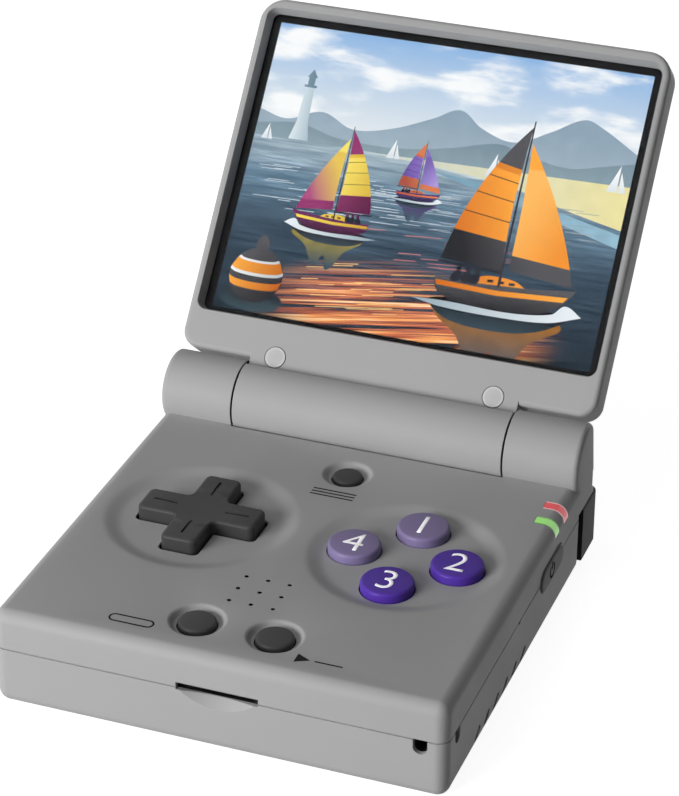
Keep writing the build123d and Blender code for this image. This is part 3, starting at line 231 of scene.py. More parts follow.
def case_finish():
    """The shells' grey plastic, with painted shade in its hollows and gaps, and a deepened thumb
    scoop.
    """
    far = 100.0
    skin = 0.9                             # depth from the outside at which the painted shade starts
    shade_top = 17.9
    saddle_front, saddle_low = 30.9, 14.3
    block_skin, block_top = 0.03, 29.0     # painted shade on the end blocks' inner faces, in the gap by the barrel
    scoop_x, scoop_z, scoop_radius = 0.45, 19.85, 11.15
    scoop_half, scoop_low, scoop_high = 9.0, 5.0, 11.25
    scoop_depth = 2.6
    finish, grey = moulded_finish("shell_grey", SHELL_GREY, SHELL_ROUGHNESS, edge=SHELL_EDGE)
    x, y, z = finish.axes(finish.coordinates(scale=MILLIMETRES))
    across = finish.maths("ABSOLUTE", x)

    def box(*ranges):
        """1 inside a box, given as ranges of the distance from the middle plane, Y and Z."""
        inside = 1.0
        for value, (low, high) in zip((across, y, z), ranges):
            test = finish.maths("COMPARE", value, (low + high) / 2, (high - low) / 2)
            inside = finish.maths("MULTIPLY", test, inside)
        return inside

    case = box((-1, side_x - skin), (front_y + skin, rear_y - skin), (skin, shade_top))
    saddle = box((-1, block_end + 0.01), (saddle_front, far), (saddle_low, far))
    block_faces = box((block_end - block_skin, block_end + block_skin), (saddle_front, far),
                      (top_height, block_top))
    behind_vents = box((side_x - 4.3, side_x - 0.3), (-31.0, 2.0), (1.5, 4.6))
    under_speaker_holes = box((-1, 5.0), (-27.2, -17.3), (17.0, 19.26))
    # Painted shade: near-black inside the case past its skin, on the end blocks' inner faces and
    # behind the vents and speaker holes, so that gaps and openings look dark.
    painted_shade = finish.maths("SUBTRACT", case, saddle)
    for zone in (block_faces, behind_vents, under_speaker_holes):
        painted_shade = finish.maths("MAXIMUM", painted_shade, zone)
    finish.paint(finish.mix(painted_shade, grey, PAINTED_SHADE_GREY))

    reach = finish.squares(finish.maths("SUBTRACT", x, scoop_x),
                           finish.maths("SUBTRACT", z, scoop_z))
    rim = finish.maths("DIVIDE", reach, scoop_radius ** 2)
    dish = finish.maths("SUBTRACT", 1.0, rim, use_clamp=True)
    front = box((-1, scoop_half), (front_y - 1, front_y + 1.4), (scoop_low, scoop_high))
    finish.bump(finish.maths("MULTIPLY", dish, front), scoop_depth, invert=True)
    return finish.material


def polished_metal(name, colour, roughness, stretch):
    """Turned or drawn steel with fine marks along one axis."""
    finish = Finish(name, colour, roughness, metallic=1.0)
    marks = finish.noise(finish.coordinates(scale=stretch), 2500.0, CLOUD_DETAIL)
    dark = tuple(0.8 * part for part in colour)
    finish.paint(finish.ramp(marks, list(zip(CLOUD_EDGES, (dark, colour)))))
    finish.bump(marks, 0.002)
    return finish.material


def light_pipe_finish(name, colour, rim):
    """Clear tinted strip, lit from below, with edges of another tone."""
    rim_width, blend = 0.30, 0.05
    start = 1 - rim_width / light_half_width
    finish = Finish(name, colour, 0.25, coat_weight=0.3, emission_strength=0.45)
    y = finish.axes(finish.coordinates((0, light_middles[name] * MM, 0), scale=MILLIMETRES))[1]
    distance = finish.maths("DIVIDE", finish.maths("ABSOLUTE", y), light_half_width)
    tone = finish.ramp(distance, [(0.0, colour), (start - blend, colour),
                                  (start + blend, rim), (1.0, rim)])
    finish.paint(tone)
    finish.paint(tone, "Emission Color")
    return finish.material


def bumper_finish():
    """Frosted clear rubber: pale in the middle, with a painted highlight on its rounded rim and
    painted shade down its side.
    """
    # Grey tones out from the middle: a painted highlight near the rim, then painted shade at the
    # edge.
    highlight_and_shade_rings = ((0.0, 0.47), (0.72, 0.50), (0.86, 0.62), (0.93, 0.52), (0.975, 0.14))
    finish = Finish("bumper_clear", (0.50, 0.50, 0.50), 0.35, coat_weight=0.2)
    x, y, _ = finish.axes(finish.lid_coordinates())
    across = finish.maths("SUBTRACT", finish.maths("ABSOLUTE", x), bumper_x)
    along = finish.maths("SUBTRACT", y, bumper_start)
    distance = finish.maths("SQRT", finish.squares(across, along))
    share = finish.maths("DIVIDE", distance, bumper_radius)
    finish.paint(finish.ramp(share, [(position, (grey,) * 3) for position, grey in highlight_and_shade_rings]))
    finish.grain(4000.0, 0.004)
    return finish.material


def board_finish():
    """Green solder mask with fine copper tracks showing through."""
    mask = (0.02, 0.15, 0.06)
    finish = Finish("board_green", mask, 0.35, coat_weight=0.4)
    tracks = finish.add("ShaderNodeTexBrick", {
        "Vector": finish.coordinates(), "Color1": mask, "Color2": (0.025, 0.18, 0.07),
        "Mortar": (0.05, 0.28, 0.12), "Scale": 700.0, "Mortar Size": 0.03})
    finish.paint((tracks, "Color"))
    finish.grain(2000.0, 0.01)
    return finish.material


lid_grey = moulded_plastic("lid_grey", SHELL_GREY, SHELL_ROUGHNESS, edge=SHELL_EDGE)
# White print; its emission is a painted glow that makes it brighter than the light on it.
mark_white = moulded_plastic("mark_white", MARK_WHITE, 0.5, 0.002, emission_strength=0.35)
mark_dark = moulded_plastic("mark_dark", MARK_DARK, 0.6, 0.002, sheen=0.0)
inner_black = moulded_plastic("inner_black", (0.03, 0.03, 0.03), 0.5)

node_finish = {
    "shell_grey": case_finish(),
    "board_green": board_finish(),
    "bumper_clear": bumper_finish(),
    "light_red": light_pipe_finish("light_red", SIGNAL_RED, (0.72, 0.42, 0.42)),
    "light_green": light_pipe_finish("light_green", SIGNAL_GREEN, (0.12, 0.34, 0.09)),
}
for slot, colour, roughness, settings in (
    ("control_grey", CONTROL_GREY, 0.42, dict(grain_depth=0.008)),
    ("key_grey", KEY_GREY, 0.55, dict(sheen=0.06)),
    ("shoulder_grey", SHOULDER_GREY, 0.55, dict(grain_depth=0.008, sheen=0.06)),
    ("button_lilac", LILAC, 0.36,
     dict(grain_depth=0.003, coat_weight=0.15, coat_roughness=0.3)),
    ("button_violet", VIOLET, 0.33,
     dict(grain_depth=0.003, sheen=0.1, coat_weight=0.08, coat_roughness=0.2)),
    ("membrane_rubber", (0.35, 0.35, 0.35), 0.6, dict(grain_depth=0.01)),
    ("led_white", (0.8, 0.8, 0.7), 0.4, {}),
    ("flex_amber", (0.5, 0.27, 0.06), 0.35, {}),
):
    node_finish[slot] = moulded_plastic(slot, colour, roughness, **settings)
for slot, colour, roughness, stretch in (
    ("screw_steel", (0.30, 0.30, 0.31), 0.35, (1.0, 1.0, 0.1)),
    ("hinge_steel", (0.60, 0.60, 0.60), 0.28, (0.05, 1.0, 1.0)),
    ("shield_tin", (0.60, 0.60, 0.60), 0.32, (1.0, 0.1, 1.0)),
    ("battery_foil", (0.36, 0.36, 0.38), 0.45, (1.0, 1.0, 1.0)),
):
    node_finish[slot] = polished_metal(slot, colour, roughness, stretch)
for slot in ("module_black", "switch_black", "speaker_black", "display_panel", "display_glass"):
    node_finish[slot] = inner_black


# ==== finish of the solid model's own pieces =====================================
class GeometryTree(NodeTree):
    """A Geometry Nodes tree whose inputs are (name, kind, default) rows."""

    def __init__(self, name, *inputs):
        super().__init__(bpy.data.node_groups.new(name, "GeometryNodeTree"))
        sockets = self.tree.interface
        for label, kind, value in inputs:
            socket = sockets.new_socket(label, in_out="INPUT", socket_type=f"NodeSocket{kind}")
            if value is not None:
                socket.default_value = value
        sockets.new_socket("Geometry", in_out="OUTPUT", socket_type="NodeSocketGeometry")
        self.start = self.add("NodeGroupInput")

    def end(self, geometry):
        self.add("NodeGroupOutput", {"Geometry": geometry})
        return self.tree


def smooth_tree():
    """Joins a solid's loose triangles and shades them smooth up to an angle."""
    group = GeometryTree("smooth_finish", ("Geometry", "Geometry", None),
                         ("Merge Distance", "Float", 0.002 * MM),
                         ("Crease Angle", "Float", math.radians(28.0)))
    weld = group.add("GeometryNodeMergeByDistance", {
        "Geometry": (group.start, "Geometry"), "Distance": (group.start, "Merge Distance")})
    angle = group.add("GeometryNodeInputMeshEdgeAngle")
    soft = group.add("FunctionNodeCompare", {
        "A": (angle, "Unsigned Angle"), "B": (group.start, "Crease Angle")}, operation="LESS_THAN")
    faces = group.add("GeometryNodeSetShadeSmooth", {"Geometry": (weld, "Geometry")})
    edges = group.add("GeometryNodeSetShadeSmooth", {
        "Geometry": (faces, "Geometry"), "Shade Smooth": (soft, "Result")}, domain="EDGE")
    return group.end((edges, "Geometry"))


smooth_finish = smooth_tree()
crease_input = next(item.identifier for item in smooth_finish.interface.items_tree
                    if item.name == "Crease Angle")
scoop_crease = 14.0                    # degrees; keeps the thumb scoop's rim sharp
slot_of_node = {item["node"]: item["material_slot"] for item in frame["record"]["subparts"]}
for name, node in nodes.items():
    on_lid = name.startswith("lid_") and slot_of_node[name] == "shell_grey"
    node.data.materials.clear()
    node.data.materials.append(lid_grey if on_lid else node_finish[slot_of_node[name]])
    smoothing = node.modifiers.new("smooth_finish", "NODES")
    smoothing.node_group = smooth_finish
    if name == "base_bottom_shell":
        smoothing[crease_input] = math.radians(scoop_crease)


# ==== pieces made here ===========================================================
lid_place = (Matrix.Translation(Vector((0, hinge_y, hinge_z)) * MM)
             @ Matrix.Rotation(math.radians(lid_lean), 4, "X") @ Matrix.Scale(MM, 4))


def new_object(name, data):
    """A new object at the origin of the scene."""
    item = bpy.data.objects.new(name, data)
    bpy.context.scene.collection.objects.link(item)
    return item


def built_mesh(name, builder):
    mesh = bpy.data.meshes.new(name)
    builder.to_mesh(mesh)
    builder.free()
    return mesh


def add_piece(name, mesh, material, body, thickness=0.0):
    """A piece of one material that rides on a body; any thickness, in millimetres, goes inwards."""
    mesh.materials.clear()
    mesh.materials.append(material)
    piece = new_object(name, mesh)
    if thickness:
        depth = piece.modifiers.new("thickness", "SOLIDIFY")
        depth.thickness, depth.offset = thickness * MM, -1.0
    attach(piece, body)
    return piece


def lid_piece(name, mesh, material):
    """A piece given in millimetres in the lid's own frame."""
    mesh.transform(lid_place)
    return add_piece(name, mesh, material, "lid")


def plain_mesh(name, vertices, faces):
    mesh = bpy.data.meshes.new(name)
    mesh.from_pydata(vertices, [], faces)
    mesh.update()
    return mesh


def rounded_outline(width, height, radius, middle=(0, 0), steps=8):
    """Points of a rounded rectangle, anticlockwise."""
    points = []
    for corner, (sx, sy) in enumerate(((1, 1), (-1, 1), (-1, -1), (1, -1))):
        for step in range(steps + 1):
            angle = math.radians(90 * corner + 90 * step / steps)
            points.append((middle[0] + sx * (width / 2 - radius) + radius * math.cos(angle),
                           middle[1] + sy * (height / 2 - radius) + radius * math.sin(angle)))
    return points


def band_faces(count):
    """Quads between two rings of that many points."""
    return [(i, (i + 1) % count, count + (i + 1) % count, count + i) for i in range(count)]


def plate(outline, low, high):
    """Vertices and faces of a flat plate with that outline between two heights."""
    count = len(outline)
    vertices = [(x, y, z) for z in (low, high) for x, y in outline]
    ends = [tuple(range(count - 1, -1, -1)), tuple(range(count, 2 * count))]
    return vertices, ends + band_faces(count)


def ring(outer, inner, height):
    """A flat ring between two outlines of as many points, facing up."""
    return [(x, y, height) for x, y in (*outer, *inner)], band_faces(len(outer))


# ---- screen ---------------------------------------------------------------------
picture_width, picture_height = 77.8, 59.7
picture_start = 16.84                  # barrel axis to the picture's lower edge
glass_margin = 0.7                     # glass past the window, under the bezel
glass_body = 0.5                       # thickness of the cover glass
border_height = glass_front - glass_body - 0.03
window_middle = window_start + window_height / 2
picture_middle = picture_start + picture_height / 2


def glass_finish():
    """Clear cover glass with a coating that keeps reflections low."""
    finish = Finish("display_glass", WHITE, 0.03, ior=1.12, transmission_weight=1.0)
    finish.grain(900.0, 0.0004)
    return finish.material


def border_finish():
    """Black print on the back of the cover glass."""
    black = (0.004, 0.004, 0.005)
    finish = Finish("border_black", black, 0.5, specular_ior_level=0.0)
    finish.paint(finish.clouds(finish.coordinates(), 200.0, black, 0.1))
    return finish.material


outline = rounded_outline(window_width + 2 * glass_margin, window_height + 2 * glass_margin,
                          window_corner + glass_margin, (0, window_middle))
glass_mesh = plain_mesh("cover_glass", *plate(outline, glass_front - glass_body, glass_front))
glass = lid_piece("cover_glass", glass_mesh, glass_finish())
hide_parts("display_glass")

inner = rounded_outline(picture_width, picture_height, 0.25, (0, picture_middle))
lid_piece("screen_border", plain_mesh("screen_border", *ring(outline, inner, border_height)),
          border_finish())


def lit(name):
    """A part of the lit picture: its colour comes from emission alone."""
    return Finish(name, (0.0, 0.0, 0.0), 0.6, emission_strength=1.0, specular_ior_level=0.0)


def sky_finish():
    """Blue over a hazy horizon, with drifting clouds."""
    finish = lit("picture_sky")
    place = finish.lid_coordinates()
    height = finish.share(finish.axes(place)[1], horizon, picture_start + picture_height)
    blue = finish.ramp(height, [(0.0, (0.84, 0.86, 0.87)), (0.4, (0.62, 0.72, 0.82)),
                                (1.0, (0.27, 0.47, 0.76))])
    cloud = finish.noise(finish.remap(place, cloud_stretch), scale=1.6, detail=6.0,
                         roughness=0.55)
    cover = finish.ramp(cloud, [(0.46, (0, 0, 0)), (0.64, (1, 1, 1))], "EASE")
    finish.paint(finish.mix(cover, blue, (0.94, 0.96, 0.97)), "Emission Color")
    return finish.material


def water_finish():
    """Dark water with ripples, and trails of evening light in front of the boats."""
    finish = lit("picture_water")
    place = finish.lid_coordinates()
    x, y, _ = finish.axes(place)
    depth = finish.ramp(finish.share(y, picture_start, horizon),
                        [(0.0, (0.016, 0.028, 0.042)), (0.5, (0.045, 0.08, 0.12)),
                         (0.8, (0.15, 0.25, 0.34)), (1.0, (0.42, 0.53, 0.60))])
    ripples = finish.noise(finish.remap(place, ripple_stretch, (0, 0, ripple_slant)),
                           scale=2.2, detail=4.0, roughness=0.6)
    glints = finish.ramp(ripples, [(0.35, (0.55, 0.6, 0.65)), (0.55, (1.0, 1.0, 1.0)),
                                   (0.75, (1.9, 1.8, 1.75))])
    water = finish.mix(1.0, depth, glints, "MULTIPLY")
    trails = finish.noise(finish.remap(place, trail_size, (0, 0, trail_slant), kind="TEXTURE"),
                          scale=1.1, detail=3.0, roughness=0.65)
    bands = finish.ramp(trails, [(0.44, (0.0, 0.0, 0.0)), (0.52, (0.55, 0.11, 0.02)),
                                 (0.60, (1.0, 0.42, 0.10)), (0.68, (1.0, 0.85, 0.55))])
    across = finish.maths("MULTIPLY", x, trail_spread[0])
    upward = finish.maths("MULTIPLY_ADD", y, trail_spread[1], -trail_spread[1] * trail_middle)
    near = finish.ramp(finish.squares(across, upward), [(0.1, (1, 1, 1)), (0.55, (0, 0, 0))],
                       "EASE")
    lights = finish.mix(1.0, bands, near, "MULTIPLY")
    finish.paint(finish.mix(1.0, water, lights, "SCREEN"), "Emission Color")
    return finish.material


def picture_point(point):
    """A picture place, in millimetres from its lower left corner, in the lid's own frame."""
    return (point[0] - picture_width / 2, point[1] + picture_start)


def layer_height(level):
    """Height of a picture layer; each lies a hair in front of the last."""
    first, gap = 0.04, 0.018
    return panel_front + first + gap * level


def shaded(name, first, second, start, end, mottle=0.0):
    """A picture colour that runs from a tone at one picture place to a second at another."""
    finish = lit(name)
    place = finish.lid_coordinates()
    a, b = picture_point(start), picture_point(end)
    reach = math.dist(a, b)
    turn = math.degrees(math.atan2(b[1] - a[1], b[0] - a[0]))
    along = finish.remap(place, (reach, reach, reach), (0, 0, turn), (*a, 0), "TEXTURE")
    tone = finish.ramp(finish.axes(along)[0], [(0.0, first), (1.0, second)])
    if mottle:
        patches = finish.clouds(place, 0.45, WHITE, mottle)
        tone = finish.mix(1.0, tone, patches, "MULTIPLY")
    finish.paint(tone, "Emission Color")
    return finish.material


picture_layers = {}


def picture_shape(name, material, outline, level):
    """Adds a filled outline, in picture millimetres from its lower left corner, to a layer."""
    points = [(*picture_point(point), layer_height(level)) for point in outline]
    picture_layers.setdefault(name, (material, []))[1].append(points)


def shaded_shape(name, outline, level, *tones):
    """A shape with a shaded material of its own."""
    name = f"picture_{name}"
    picture_shape(name, shaded(name, *tones), outline, level)


def make_picture_layers():
    for name, (material, parts) in picture_layers.items():
        builder = bmesh.new()
        for points in parts:
            face = builder.faces.new([builder.verts.new(point) for point in points])
            face.normal_update()
            if face.normal.z < 0:
                face.normal_flip()
        bmesh.ops.triangulate(builder, faces=builder.faces[:])
        lid_piece(name, built_mesh(name, builder), material)


def curve_points(points, steps=CURVE_STEPS):
    """A smooth closed outline; a point given as (x, y, "corner") stays sharp."""
    count = len(points)
    outline = []
    for index in range(count):
        a, b, c, d = (points[(index + k) % count] for k in (-1, 0, 1, 2))
        start, end = Vector(b[:2]), Vector(c[:2])
        if len(b) == 3 and len(c) == 3:
            outline.append(tuple(start))
            continue
        reach = (end - start).length
        leave, arrive = end - start, end - start
        if len(b) == 2:
            leave = (end - Vector(a[:2])).normalized() * reach
        if len(c) == 2:
            arrive = (Vector(d[:2]) - start).normalized() * reach
        for step in range(steps):
            t = step / steps
            point = ((2 * t ** 3 - 3 * t ** 2 + 1) * start + (t ** 3 - 2 * t ** 2 + t) * leave
                     + (3 * t ** 2 - 2 * t ** 3) * end + (t ** 3 - t ** 2) * arrive)
            outline.append(tuple(point))
    return outline


def disc(middle, radius, steps=16):
    turn = 2 * math.pi / steps
    return [(middle[0] + radius * math.cos(turn * i), middle[1] + radius * math.sin(turn * i))
            for i in range(steps)]


# ---- the picture: sailing boats on a lake ---------------------------------------
horizon_rise = 36.0                    # picture's lower edge to the far shore
horizon = picture_start + horizon_rise
cloud_stretch = (0.028, 0.085, 0.05)
ripple_stretch, ripple_slant = (0.03, 0.5, 0.1), -7.0
trail_size, trail_slant = (60.0, 1.05, 10.0), 8.0
trail_spread = (0.022, 0.062)          # how fast the trails fade sideways and upwards
trail_middle = picture_start + 4.0


def draw_lake():
    """Sky, hills, a lighthouse, the sandy shore and the water."""
    right, top = picture_width, picture_height
    picture_shape("picture_sky", sky_finish(), [(0, 30), (right, 30), (right, top), (0, top)], 0)
    far = [(0, 41.5), (6, 40.2), (13, 42.6), (20, 40.0), (28, 41.4), (36, 44.8), (41, 47.2),
           (46, 44.2), (53, 42.4), (60, 45.6), (66, 49.0), (70, 47.8), (right, 43.5)]
    near = [(0, 38.6), (9, 39.6), (17, 37.8), (30, 37.6), (41, 39.4), (50, 41.6), (56, 40.2),
            (65, 38.9), (72, 40.4), (right, 41.8)]
    far_tones, near_tones = (((0.36, 0.46, 0.54), (0.27, 0.37, 0.46), (0, 36), (0, 46), 0.05),
                             ((0.27, 0.37, 0.42), (0.16, 0.24, 0.30), (0, 35), (0, 44), 0.07))
    for name, tones, ridge, level in (("far_hills", far_tones, far, 1),
                                      ("near_hills", near_tones, near, 2)):
        soft = curve_points([(*ridge[0], "corner"), *ridge[1:-1], (*ridge[-1], "corner")])
        crest = soft[:(len(ridge) - 1) * CURVE_STEPS + 1]
        shaded_shape(name, [*crest, (right, 34), (0, 34)], level, *tones)
    picture_shape("picture_water", water_finish(),
                  [(0, 0), (right, 0), (right, horizon_rise), (0, horizon_rise)], 3)
    shaded_shape("sand", curve_points([(24, 35.9, "corner"), (right, 37.0, "corner"),
                                       (right, 28.2, "corner"), (66, 30.6), (54, 33.4),
                                       (40, 34.9)]),
                 4, (0.84, 0.76, 0.36), (0.62, 0.66, 0.60), (right, 33), (30, 34), 0.04)
    shaded_shape("shallows", curve_points([(38, 34.2, "corner"), (54, 32.7), (66, 29.8),
                                           (right, 27.3, "corner"), (right, 24.6, "corner"),
                                           (66, 27.6), (53, 30.6)]),
                 4, (0.30, 0.50, 0.62), (0.18, 0.33, 0.44), (right, 27), (38, 31), 0.1)
    sunny, shady = (7.4, 40), (11.2, 40)   # the two sides of the lighthouse
    shaded_shape("lighthouse", [(7.2, 36.2), (11.4, 36.2), (10.5, 40.0), (10.15, 47.2),
                                (8.45, 47.2), (8.1, 40.0)],
                 4, (0.72, 0.80, 0.84), (0.40, 0.52, 0.60), sunny, shady)
    shaded_shape("lighthouse_roof", [(8.0, 47.2), (10.6, 47.2), (10.6, 47.7), (10.0, 47.7),
                                     (10.0, 49.3), (10.4, 49.3), (9.3, 51.0), (8.2, 49.3),
                                     (8.6, 49.3), (8.6, 47.7), (8.0, 47.7)],
                 5, (0.22, 0.34, 0.42), (0.12, 0.20, 0.27), sunny, shady)


def sail_panel(tack, clew, head, belly, low, high, steps=8):
    """The part of a sail between two shares of its height; its leech bulges by the belly."""
    def edge(foot, share, bulge):
        side = Vector(head) - Vector(foot)
        out = Vector((-side.y, side.x)).normalized() * bulge
        return tuple(Vector(foot) + side * share + out * 4 * share * (1 - share))

    shares = [low + (high - low) * step / steps for step in range(steps + 1)]
    front = [edge(tack, share, 0.25 * belly) for share in shares]
    back = [edge(clew, share, belly) for share in reversed(shares)]
    return front + back


def draw_boat(name, place, size, way, level, colours):
    """A sloop on its waterline; way is 1 when it sails to the right and -1 to the left."""
    def at(x, y):
        return (place[0] + way * size * x, place[1] + size * y)

    def put(part, outline, rise):
        moved = [at(*point[:2]) for point in outline]
        picture_shape(f"picture_{name}_{part}", materials[part], moved, level + rise)

    dark = tuple(0.35 * c for c in colours["hull"][1])
    mirror = tuple(0.35 * c for c in colours["sail"][0])
    deep = (0.05, 0.09, 0.12)              # the water that both fade into
    materials = {part: shaded(f"picture_{name}_{part}", *tones, at(*start), at(*end), mottle)
                 for part, tones, start, end, mottle in (
        ("hull", colours["hull"], (0, 2.5), (0, -1.5), 0.05),
        ("trim", colours["trim"], (10, 2), (-10, 2), 0.0),
        ("sail", colours["sail"], (1, 12), (-9, 9), 0.04),
        ("panel", colours["panel"], (0, 14), (-8, 10), 0.0),
        ("jib", colours["jib"], (8, 8), (0, 12), 0.04),
        ("spar", ((0.05, 0.05, 0.06), (0.02, 0.02, 0.03)), (1, 0), (-1, 0), 0.0),
        ("foam", ((0.80, 0.86, 0.90), (0.30, 0.40, 0.46)), (11, 0), (-12, 0), 0.0),
        ("mirror", (mirror, deep), (0, -2), (0, -10), 0.2),
        ("shade", (dark, deep), (0, -1), (0, -5.5), 0.0),
    )}
    put("mirror", curve_points([(-8.5, -2.0), (0.5, -1.8), (10, -2.0), (6, -5.5), (2.4, -10.5),
                                (0.6, -7.5), (-1.0, -11.0), (-4.5, -6.0)]), 0)
    put("shade", curve_points([(-9.5, -1.0), (0, -1.2), (10.5, -0.6), (7.5, -3.2), (1, -4.4),
                               (-7, -3.6)]), 1)
    put("foam", curve_points([(-12.4, -1.4, "corner"), (-7, -1.2), (2, -1.4), (8.4, -0.6),
                              (10.2, 0.9), (12.8, -0.4, "corner"), (8, -1.9), (0, -2.3),
                              (-8, -2.1)]), 2)
    put("hull", curve_points([(-9.6, 2.3, "corner"), (-9.0, 0.3), (-6.5, -0.9), (0, -1.4),
                              (6.0, -1.0), (9.4, 0.7), (11.4, 3.3, "corner"), (4, 2.5),
                              (-4, 2.1)]), 3)
    put("trim", [(-9.35, 1.75), (-9.15, 1.0), (0, 0.75), (9.7, 1.35), (10.3, 2.15), (0, 1.5)], 4)
    put("trim", curve_points([(-3.4, 2.1, "corner"), (-2.8, 3.2), (0, 3.5), (2.4, 3.2),
                              (3.8, 2.45, "corner")]), 4)
    for x in (-1.8, -0.2, 1.4):            # cabin windows
        put("spar", [(x, 2.5), (x + 0.9, 2.55), (x + 0.9, 2.95), (x, 2.9)], 5)
    mainsail = (-0.15, 4.4), (-9.3, 4.9), (-0.05, 26.0), 1.5
    foresail = (0.9, 4.6), (10.6, 3.6), (0.3, 23.6), -0.9
    for part, low, high in (("panel", 0.0, 0.2), ("sail", 0.2, 0.66), ("trim", 0.66, 0.7),
                            ("panel", 0.7, 1.0)):
        put(part, sail_panel(*mainsail, low, high), 4)
    for share in (0.33, 0.47, 0.6):        # battens
        put("spar", sail_panel(*mainsail, share, share + 0.006, 2), 5)
    for part, low, high in (("panel", 0.0, 0.12), ("jib", 0.12, 0.8), ("sail", 0.8, 1.0)):
        put(part, sail_panel(*foresail, low, high), 5)
    put("spar", [(-0.2, 2.0), (0.2, 2.0), (0.12, 26.9), (-0.08, 26.9)], 6)
    put("spar", [(-9.6, 4.35), (0, 4.0), (0, 4.4), (-9.6, 4.65)], 6)
    for x, lean in ((-6.6, 0.2), (-5.0, 0.0), (-3.9, 0.3)):    # the crew
        put("spar", curve_points([(x - 0.6, 2.1), (x + 0.7, 2.1), (x + 0.5 + lean, 3.4),
                                  (x - 0.3 + lean, 3.4)]), 6)
        put("panel", disc((x + 0.15 + lean, 3.85), 0.42), 6)


def draw_far_sails():
    """Small white sails under the far shore."""
    name = "picture_far_sails"
    white = shaded(name, (0.92, 0.94, 0.96), (0.62, 0.70, 0.76), (0, 39), (0, 34))
    for x, y, size in ((29.6, 35.4, 1.9), (50.5, 34.9, 2.3), (75.2, 35.6, 2.6), (2.8, 35.5, 1.6)):
        picture_shape(name, white, [(x, y), (x, y + 2.1 * size), (x - 0.8 * size, y)], 5)
        picture_shape(name, white, [(x + 0.12 * size, y), (x + 0.7 * size, y),
                                    (x + 0.12 * size, y + 1.6 * size)], 5)


def draw_buoy():
    """A fat mooring buoy in the near corner: black with orange and white bands."""
    middle, radius = (7.4, 7.6), 5.6
    flatten, droop = 0.92, 0.9             # of the bands, as they are seen from above
    black = shaded("picture_buoy", (0.10, 0.10, 0.11), (0.012, 0.012, 0.016),
                   (3, 12), (12, 3), 0.1)
    orange = shaded("picture_buoy_band", (1.0, 0.42, 0.06), (0.50, 0.11, 0.01), (2, 10), (13, 6))
    white = shaded("picture_buoy_rim", (0.92, 0.92, 0.92), (0.45, 0.48, 0.50), (2, 10), (13, 6))
    shaded_shape("buoy_mirror", curve_points([(1.2, 3.6), (7.4, 4.4), (13.6, 3.6), (12.4, 0.9),
                                              (2.6, 0.9)]),
                 4, (0.02, 0.03, 0.04), (0.05, 0.09, 0.11), (7, 3.5), (7, 0), 0.2)

    def band(low, high):
        """The part of the buoy between two heights, with edges that curve round it."""
        points = []
        for height, order in ((low, 1), (high, -1)):
            half = math.sqrt(1 - height ** 2)
            for step in range(13):
                share = order * (2 * step / 12 - 1)
                dip = droop * half * math.sqrt(1 - share ** 2)
                points.append((middle[0] + radius * half * share,
                               middle[1] + radius * height * flatten - dip))
        return points

    picture_shape("picture_buoy", black, disc(middle, radius, 40), 6)
    for name, material, low, high in (("rim", white, 0.12, 0.24), ("band", orange, 0.24, 0.62),
                                      ("rim", white, 0.62, 0.70), ("band", orange, -0.42, -0.12)):
        picture_shape(f"picture_buoy_{name}", material, band(low, high), 7)
    picture_shape("picture_buoy", black, curve_points([(6.3, 13.0), (6.3, 15.0), (7.4, 15.9),
                                                       (8.5, 15.0), (8.5, 13.0)]), 6)


def streak_tree():
    """Geometry Nodes: thin strips of light scattered over a rectangle."""
    sizes = ("Width", "Height", "Density", "Shortest", "Longest", "Thickness", "Slant")
    group = GeometryTree("light_streaks", *((size, "Float", None) for size in sizes),
                         ("Seed", "Int", None), ("Material", "Material", None))

    def given(name):
        return (group.start, name)

    area = group.add("GeometryNodeMeshGrid", {
        "Size X": given("Width"), "Size Y": given("Height"), "Vertices X": 2, "Vertices Y": 2})
    strip = group.add("GeometryNodeMeshGrid", {"Vertices X": 2, "Vertices Y": 2})
    scatter = group.add("GeometryNodeDistributePointsOnFaces", {
        "Mesh": (area, "Mesh"), "Density": given("Density"), "Seed": given("Seed")})
    length = group.add("FunctionNodeRandomValue", {"Seed": given("Seed")}, data_type="FLOAT")
    limits = [socket for socket in length.inputs if socket.type == "VALUE"]
    for socket, name in zip(limits, ("Shortest", "Longest")):
        group.feed(socket, given(name))
    drawn = next(i for i, socket in enumerate(length.outputs) if socket.type == "VALUE")
    size = group.add("ShaderNodeCombineXYZ", {
        "X": (length, drawn), "Y": given("Thickness"), "Z": 1.0})
    turn = group.add("ShaderNodeCombineXYZ", {"Z": given("Slant")})
    copies = group.add("GeometryNodeInstanceOnPoints", {
        "Points": (scatter, "Points"), "Instance": (strip, "Mesh"),
        "Scale": (size, "Vector"), "Rotation": (turn, "Vector")})
    plain = group.add("GeometryNodeRealizeInstances", {"Geometry": (copies, "Instances")})
    dressed = group.add("GeometryNodeSetMaterial", {
        "Geometry": (plain, "Geometry"), "Material": given("Material")})
    return group.end((dressed, "Geometry"))


def evaluated_mesh(carrier):
    """The plain mesh of an object as it stands; the object itself goes."""
    graph = bpy.context.evaluated_depsgraph_get()
    mesh = bpy.data.meshes.new_from_object(carrier.evaluated_get(graph))
    bpy.data.objects.remove(carrier)
    return mesh


def draw_streaks(name, middle, level, **settings):
    """One run of the streak tree, turned into a plain piece of the picture."""
    carrier = new_object(name, bpy.data.meshes.new(name))
    growth = carrier.modifiers.new("light_streaks", "NODES")
    growth.node_group = streaks
    for item in streaks.interface.items_tree:
        if item.in_out == "INPUT":
            growth[item.identifier] = settings[item.name.lower()]
    mesh = evaluated_mesh(carrier)
    mesh.transform(Matrix.Translation((*picture_point(middle), layer_height(level))))
    lid_piece(name, mesh, settings["material"])


